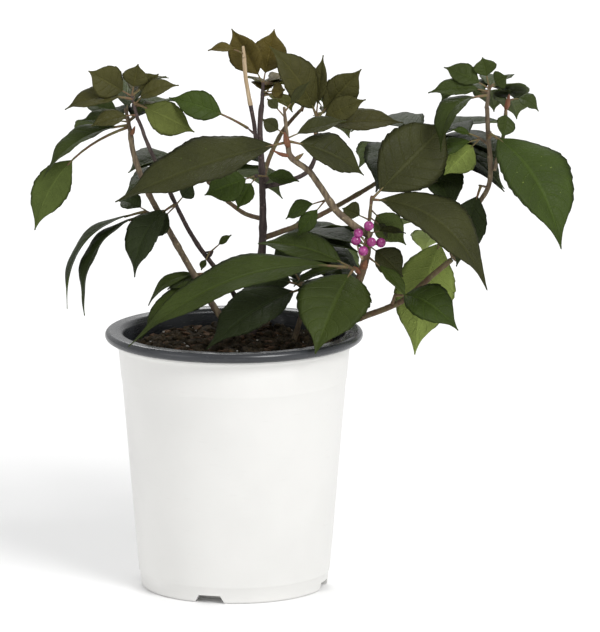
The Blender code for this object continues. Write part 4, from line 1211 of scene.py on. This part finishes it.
class Gather:
    """Collects many small meshes into one piece with shared materials."""

    def __init__(self, name):
        self.name = name
        self.vertices, self.faces, self.uvs = [], [], []
        self.kinds, self.materials = [], []

    def add(self, vertices, faces, kinds, uvs=None):
        """Adds a mesh. kinds is one material or one for each face."""
        start = len(self.vertices)
        self.vertices += vertices
        self.faces += [tuple(start + i for i in face) for face in faces]
        if isinstance(kinds, bpy.types.Material):
            kinds = [kinds] * len(faces)
        for material in kinds:
            if material not in self.materials:
                self.materials.append(material)
            self.kinds.append(self.materials.index(material))
        self.uvs += uvs or [(0.5, 0.0)] * len(vertices)

    def piece(self, slot, *nodes):
        """Puts the joined object on the plant."""
        obj = mesh_object(self.name, self.vertices, self.faces, self.materials, self.kinds, self.uvs)
        add_piece(obj, slot, *nodes)


def build_leaves(grown, tops, unders, barks):
    """The sprays: each leaf with its stalk, and each twig, joined into a piece for each group."""
    leaves = {group: Gather("leaves_" + group) for group in GROUPS}
    twigs = {group: Gather("twigs_" + group) for group in GROUPS}
    for order, (name, spray) in enumerate(SPRAYS.items()):
        dice = random.Random(SEED * 100 + order)
        group = group_of(name)
        kind = kind_in(LEAF_KINDS, name, "mature")
        bark = kind_in(LIMB_BARKS, spray["limb"], "tan")
        if spray["limb"] == DEAD_END[0] and spray["at"] == 1:
            bark = "cream"
        path = twig_path(grown[name]["path"], TWIG_RUN, TWIG_STEP)
        radii = (spray["radius"], spray["radius"] * TWIG_TAPER)
        skin = fine_tube(path, radii, TWIG_RING, dice, node_every=TWIG_NODE_EVERY)
        twigs[group].add(*skin, barks[bark])
        for blade in grown[name]["blades"]:
            vertices, faces, sides, uvs = fine_leaf(blade, dice)
            chosen = (tops[kind], unders[kind])
            leaves[group].add(vertices, faces, [chosen[side] for side in sides], uvs)
            stalk = []
            for step in range(STALK_STEPS + 1):
                point, along, side, upper = blade.at((blade.stalk + STALK_RUN) * step / STALK_STEPS)
                stalk.append(point - upper * STALK_SINK * step / STALK_STEPS)
            size = STALK_REAL_RADIUS * (1 if blade.length > LONG_LEAF else THIN_STALK)
            radii = [size * end for end in STALK_ENDS]
            twigs[group].add(*fine_tube(stalk, radii, STALK_RING, dice, 0.02, 0), barks["stalk"])
    for group in GROUPS:
        leaves[group].piece("leaf", *[name for name in SPRAYS if group_of(name) == group])
        twigs[group].piece("bark")


def build_stems(paths, barks):
    """The stems and boughs with their bark, each run on a little into the soil or its parent."""
    gather = Gather("stems")
    for order, (name, limb) in enumerate(LIMBS.items()):
        dice = random.Random(SEED * 7 + order)
        path, radii = paths[name]
        points = smooth_path(path, BARK_STEP)
        back = (points[1] - points[0]).normalized() * BOUGH_RUN if "parent" in limb else UP * SOIL_RUN
        vertices, faces = fine_tube([points[0] - back] + points, radii, BARK_SIDES, dice)
        kinds = [barks[kind_in(LIMB_BARKS, name, "tan")]] * len(faces)
        if name == DEAD_END[0]:
            first = int(len(faces) * DEAD_END[1])
            kinds[first:] = [barks["cream"]] * (len(faces) - first)
        gather.add(vertices, faces, kinds)
    gather.piece("bark", *LIMBS)


def build_buds(paths, barks):
    """Pointed buds and bracts at the nodes, each rooted in its limb."""
    gather = Gather("buds")
    dice = random.Random(SEED * 3)
    for limb, share, towards, length, radius, kind in BUDS:
        start = point_on(paths[limb][0], share)[0]
        direction = Vector(towards).normalized()
        bend = UP * length * BUD_RISE
        path = smooth_path([start, start + direction * length * 0.5, start + direction * length + bend],
                           length / BUD_STEPS)
        vertices, faces = fine_tube(path, (1.0, 1.0), BUD_RING, dice, BUD_RELIEF, 0)
        for number, point in enumerate(path):
            along = number / (len(path) - 1)
            belly = BUD_FOOT + BUD_BELLY * math.sin(math.pi * along ** BUD_SKEW)
            size = radius * belly * (1 - BUD_TAPER * along)
            for index in range(number * BUD_RING, (number + 1) * BUD_RING):
                vertices[index] = point + (vertices[index] - point) * size
        gather.add(vertices, faces, barks[kind])
    gather.piece("bark")


def ball(make, **sizes):
    """The points and faces of a ball that one of Blender's mesh operators makes."""
    shape = bmesh.new()
    make(shape, **sizes)
    shape.verts.index_update()
    points = [vertex.co.copy() for vertex in shape.verts]
    faces = [tuple(vertex.index for vertex in face.verts) for face in shape.faces]
    shape.free()
    return points, faces


def build_berries(grown, barks):
    """The cluster of berries on their stalks, with a small dent at both ends of each."""
    name = "berry_cluster"
    dice = random.Random(SEED)
    path = grown[name]["path"]
    skin = berry_material()
    berries, stalks = Gather("berries"), Gather("berry_stalks")
    twig = twig_path(path, 1.0, FINE_STEP)
    tube_skin = fine_tube(twig, BERRY_TWIG_RADII, BERRY_TWIG_RING, dice, FINE_RELIEF, 0)
    stalks.add(*tube_skin, barks["stalk"])
    root = path[0].lerp(path[1], BERRY_ROOT)
    points, faces = ball(bmesh.ops.create_uvsphere, u_segments=32, v_segments=20, radius=BERRY_RADIUS)
    for offset in SPRAYS[name]["berries"]:
        centre = path[1] + Vector(offset)
        away = (centre - root).normalized()
        turn = away.to_track_quat("Z", "Y")
        size = dice.uniform(*BERRY_SIZES)
        vertices = []
        for point in points:
            point = point * size
            dent = math.exp(-(point.xy.length / BERRY_DENT_WIDTH) ** 2)
            dent *= BERRY_DENTS[0 if point.z > 0 else 1]
            point.z -= math.copysign(dent, point.z)
            vertices.append(turn @ point + centre)
        berries.add(vertices, faces, skin)
        crest = root.lerp(centre, 0.5) + UP * BERRY_STALK_ARCH
        end = centre - away * BERRY_RADIUS * BERRY_STALK_END
        stalk = smooth_path([root, crest, end], FINE_STEP)
        tube_skin = fine_tube(stalk, BERRY_STALK_RADII, BERRY_STALK_RING, dice, FINE_RELIEF, 0)
        stalks.add(*tube_skin, barks["stalk"])
    berries.piece("berry", name)
    stalks.piece("bark")


def shade_crisp(obj, angle):
    """Smooth shading with sharp edges past an angle in degrees."""
    obj.data.polygons.foreach_set("use_smooth", [True] * len(obj.data.polygons))
    obj.data.set_sharp_from_angle(angle=math.radians(angle))


def arc(centre, radius, start, end, steps):
    """Points on an arc of a turned profile."""
    points = []
    for step in range(steps + 1):
        angle = math.radians(start + (end - start) * step / steps)
        points.append((centre[0] + radius * math.cos(angle), centre[1] + radius * math.sin(angle)))
    return points


def build_pot():
    """The smooth pot with its foot step, shoulder, flared top and four drain recesses."""
    white = plastic_material("pot_plastic", (0.735, 0.73, 0.71), 0.36, 0.95, 0.88)
    foot, shoulder = FOOT_RING_HEIGHT, SHOULDER_HEIGHT
    foot_corner = (wall_radius(0) - FOOT_RING_STEP - FOOT_CORNER, FOOT_CORNER)
    inside = wall_radius(FLOOR) - FOOT_RING_STEP - WALL
    profile = [(0, 0)] + arc(foot_corner, FOOT_CORNER, -90, 0, 6)
    profile += [
        (wall_radius(foot) - FOOT_RING_STEP, foot - 0.5),
        (wall_radius(foot) - 0.15, foot + 0.1),
        (wall_radius(foot), foot + 0.7),
        (wall_radius(shoulder) - 0.35, shoulder - 0.8),
        (wall_radius(shoulder) - 0.05, shoulder),
        (wall_radius(shoulder) + 0.05, shoulder + 0.8),
        (WALL_TOP_RADIUS, WALL_TOP - 4.0),
    ]
    profile += arc((WALL_TOP_RADIUS + FLARE_ARC, WALL_TOP - FLARE_DROP), FLARE_ARC, 180, 90, 8)
    profile += [
        (FLARE_RADIUS, WALL_TOP - 0.9),
        (FLARE_RADIUS, WALL_TOP),
        (WALL_TOP_RADIUS - WALL, WALL_TOP),
        (WALL_TOP_RADIUS - WALL, WALL_TOP - 4.0),
        (wall_radius(shoulder) - 0.3 - WALL, shoulder - 0.4),
        (inside, FLOOR + 1.0),
        (inside - 1.0, FLOOR),
        (0, FLOOR),
    ]
    pot = turned("pot_wall", profile, white, ROUND_SIDES)
    lids, recesses = [], []
    half = DRAIN_WIDTH / 2
    lid_half = half + LID_THICKNESS
    reach = math.sqrt((BASE_RADIUS - FOOT_RING_STEP - WALL / 2) ** 2 - lid_half ** 2)
    for number in range(DRAIN_COUNT):
        angle = math.radians(DRAIN_TURN + 360 * number / DRAIN_COUNT)
        lids.append(recess_block(angle, lid_half, DRAIN_SLOPE, DRAIN_DEPTH + LID_THICKNESS, reach,
                                 FLOOR / 2, DRAIN_HEIGHT + LID_THICKNESS, "lid", white))
        recesses.append(recess_block(angle, half, DRAIN_SLOPE, DRAIN_DEPTH + CUT_MARGIN,
                                     reach + CUT_MARGIN, RECESS_FOOT, DRAIN_HEIGHT, "recess", white))
        hole = turned("hole", [(0, HOLE_FROM), (DRAIN_HOLE_RADIUS, HOLE_FROM),
                               (DRAIN_HOLE_RADIUS, HOLE_TO), (0, HOLE_TO)], white, HOLE_SIDES)
        shift = Vector(polar(reach - DRAIN_DEPTH / 2, angle)) * MM
        hole.data.transform(Matrix.Translation(shift))
        recesses.append(hole)
    apply_boolean(pot, "UNION", lids)
    apply_boolean(pot, "DIFFERENCE", recesses)
    shade_crisp(pot, 32)
    add_piece(pot, "pot", "pot")


def lining_foot():
    """Outer radius of the dark lining at its foot."""
    return wall_radius(POT_HEIGHT - LINING_DEPTH) - LINING_TAPER - WALL - GAP


def build_rim():
    """The dark rolled rim with its round bead, and the dark lining inside the wall."""
    dark = plastic_material("rim_plastic", (0.026, 0.028, 0.032), 0.27, 1.5, 2.4)
    roll = RIM_BAND / 2
    outer_skin = RIM_RADIUS - roll
    lining_top = WALL_TOP_RADIUS - WALL - GAP
    profile = arc((outer_skin, POT_HEIGHT - roll), roll, -75, 95, 22)
    profile += [
        (lining_top + 1.6, POT_HEIGHT - 0.15),
        (lining_top + 0.4, POT_HEIGHT - 0.6),
        (lining_top - LINING + 0.3, POT_HEIGHT - 1.5),
        (lining_top - LINING, POT_HEIGHT - 2.6),
        (lining_foot() - LINING, POT_HEIGHT - LINING_DEPTH),
        (lining_foot(), POT_HEIGHT - LINING_DEPTH),
        (lining_top, WALL_TOP - 4.0),
        (lining_top, WALL_TOP + GAP),
        (outer_skin + roll * math.cos(math.radians(-75)), WALL_TOP + GAP),
    ]
    rim = turned("pot_rim_roll", profile, dark, ROUND_SIDES)
    shade_crisp(rim, 50)
    add_piece(rim, "rim", "pot_rim")


def soil_place(x, y):
    """A point of the crumbly soil surface."""
    rough = noise.fractal(Vector((x * SOIL_GRAIN, y * SOIL_GRAIN, 3.0)), 0.7, 2.1, 5)
    return Vector((x, y, soil_height(x, y) - SOIL_SINK + SOIL_ROUGH * rough))


def add_grains(gather, dice, radius, material, count, least, most, flat):
    """Lumpy grains pressed flat, turned at random and part sunk in the soil."""
    points, faces = ball(bmesh.ops.create_icosphere, subdivisions=2, radius=1.0)
    for number in range(count):
        angle = dice.uniform(0, math.tau)
        size = least + (most - least) * dice.random() ** 2
        reach = (radius - size - GRAIN_EDGE) * math.sqrt(dice.random())
        centre = soil_place(*polar(reach, angle)[:2])
        tilt = Vector((dice.uniform(-GRAIN_TILT, GRAIN_TILT), dice.uniform(-GRAIN_TILT, GRAIN_TILT), 1))
        turn = tilt.to_track_quat("Z", "Y")
        spin = Matrix.Rotation(dice.uniform(0, math.tau), 3, "Z")
        long = dice.uniform(*GRAIN_LENGTH)
        offset = Vector((dice.uniform(0, LUMP_SHIFT), dice.uniform(0, LUMP_SHIFT), 0))
        lift = UP * size * flat * GRAIN_LIFT
        lumps = []
        for spot in points:
            grain = 1 + GRAIN_LUMPS * noise.noise(spot * LUMP_SCALE + offset)
            point = Vector((spot.x * long, spot.y, spot.z * flat)) * size * grain
            lumps.append(centre + turn @ (spin @ point) + lift)
        gather.add(lumps, faces, material)


def add_rootlets(gather, dice, radius, material):
    """Thin rootlets that wander over the soil."""
    for number in range(ROOTLETS):
        angle = dice.uniform(0, math.tau)
        reach = (radius - ROOTLET_EDGE) * math.sqrt(dice.random())
        heading = dice.uniform(0, math.tau)
        place = Vector(polar(reach, angle))
        points = []
        for step in range(ROOTLET_POINTS):
            height = ROOTLET_HEIGHT + ROOTLET_WAVE * math.sin(step * ROOTLET_TURN)
            points.append(soil_place(place.x, place.y) + UP * height)
            heading += dice.uniform(-ROOTLET_BEND, ROOTLET_BEND)
            place += Vector(polar(1, heading)) * dice.uniform(*ROOTLET_STEP)
        path = smooth_path(points, FINE_STEP)
        gather.add(*fine_tube(path, ROOTLET_RADII, ROOTLET_RING, dice, 0, 0), material)


def build_soil():
    """The soil's crumbly surface with clods, bark chips, perlite and rootlets."""
    peat = soil_material("peat", (0.016, 0.012, 0.006), (0.060, 0.042, 0.022))
    chip = soil_material("bark_chip", (0.045, 0.024, 0.012), (0.13, 0.075, 0.04))
    white = soil_material("perlite_grain", (0.42, 0.40, 0.36), (0.62, 0.60, 0.56))
    radius = lining_foot() - LINING - GAP
    angles = [math.tau * sector / SOIL_SECTORS for sector in range(SOIL_SECTORS)]
    vertices = [soil_place(0, 0)]
    for ring in range(1, SOIL_RINGS + 1):
        vertices += [soil_place(*polar(radius * ring / SOIL_RINGS, angle)[:2]) for angle in angles]
    vertices += [Vector(polar(radius, angle, SOIL_LEVEL - SOIL_SKIRT)) for angle in angles]
    faces = [(0, 1 + s, 1 + (s + 1) % SOIL_SECTORS) for s in range(SOIL_SECTORS)]
    rings = ring_faces(SOIL_RINGS + 1, SOIL_SECTORS, closed_start=False)
    faces += [tuple(1 + i for i in face) for face in rings]
    gather = Gather("soil_surface")
    gather.add(vertices, faces, peat)
    dice = random.Random(SEED)
    for kind, material in ((CLODS, peat), (CHIPS, chip), (PERLITE, white)):
        add_grains(gather, dice, radius, material, *kind)
    add_rootlets(gather, dice, radius, chip)
    gather.piece("soil", "soil")


def build_stage():
    """A plain pale floor, soft light from a large lamp on the right with a fill and a back lamp, and
    the camera at the photograph's place."""
    scene = bpy.context.scene
    corners = [(x * FLOOR_HALF, y * FLOOR_HALF, 0) for x, y in ((-1, -1), (1, -1), (1, 1), (-1, 1))]
    mesh = bpy.data.meshes.new("floor")
    mesh.from_pydata(corners, [], [(0, 1, 2, 3)])
    pale = Nodes("floor_pale", 0.9, 0.5)
    pale.feed(pale.shader.inputs["Base Color"], FLOOR_COLOUR)
    mesh.materials.append(pale.material)
    new_object("floor", mesh)
    for name, place, size, power in LAMPS:
        data = bpy.data.lights.new(name, "AREA")
        data.shape = "DISK"
        data.size = size
        data.energy = power
        lamp = new_object(name, data)
        lamp.location = place
        lamp.rotation_euler = (LAMP_AIM - Vector(place)).to_track_quat("-Z", "Y").to_euler()
    scene.world = bpy.data.worlds.new("studio")
    scene.world.use_nodes = True
    sky = scene.world.node_tree.nodes["Background"]
    sky.inputs[0].default_value = (1, 1, 1, 1)
    sky.inputs[1].default_value = WORLD_LIGHT
    scene.view_settings.view_transform = "Standard"
    data = bpy.data.cameras.new("camera")
    data.lens = CAMERA_LENS
    data.sensor_width = SENSOR
    data.clip_end = 100
    scene.camera = new_object("camera", data)
    scene.camera.location = CAMERA_PLACE
    scene.camera.rotation_euler = (math.radians(90 - CAMERA_PITCH), 0, 0)


def build():
    """Builds every piece on the frame."""
    barks = {kind: bark_material("bark_" + kind, *colours) for kind, colours in BARK_COLOURS.items()}
    tops = {kind: leaf_material("leaf_" + kind, pair[0], False) for kind, pair in LEAF_COLOURS.items()}
    unders = {kind: leaf_material("under_" + kind, pair[1], True) for kind, pair in LEAF_COLOURS.items()}
    paths = limb_paths()
    obstacles = {}
    for name, (path, radii) in paths.items():
        obstacles[name] = tree_of(*tube(path, radii, LIMB_SIDES, "parent" not in LIMBS[name]))
    for name in ("pot", "pot_rim", "soil"):
        mesh = frame["nodes"][name].data
        corners = [v.co / MM for v in mesh.vertices]
        obstacles[name] = tree_of(corners, [tuple(p.vertices) for p in mesh.polygons])
    grown = grow(paths, obstacles)
    build_pot()
    build_rim()
    build_soil()
    build_stems(paths, barks)
    build_leaves(grown, tops, unders, barks)
    build_buds(paths, barks)
    build_berries(grown, barks)
    build_stage()


build()
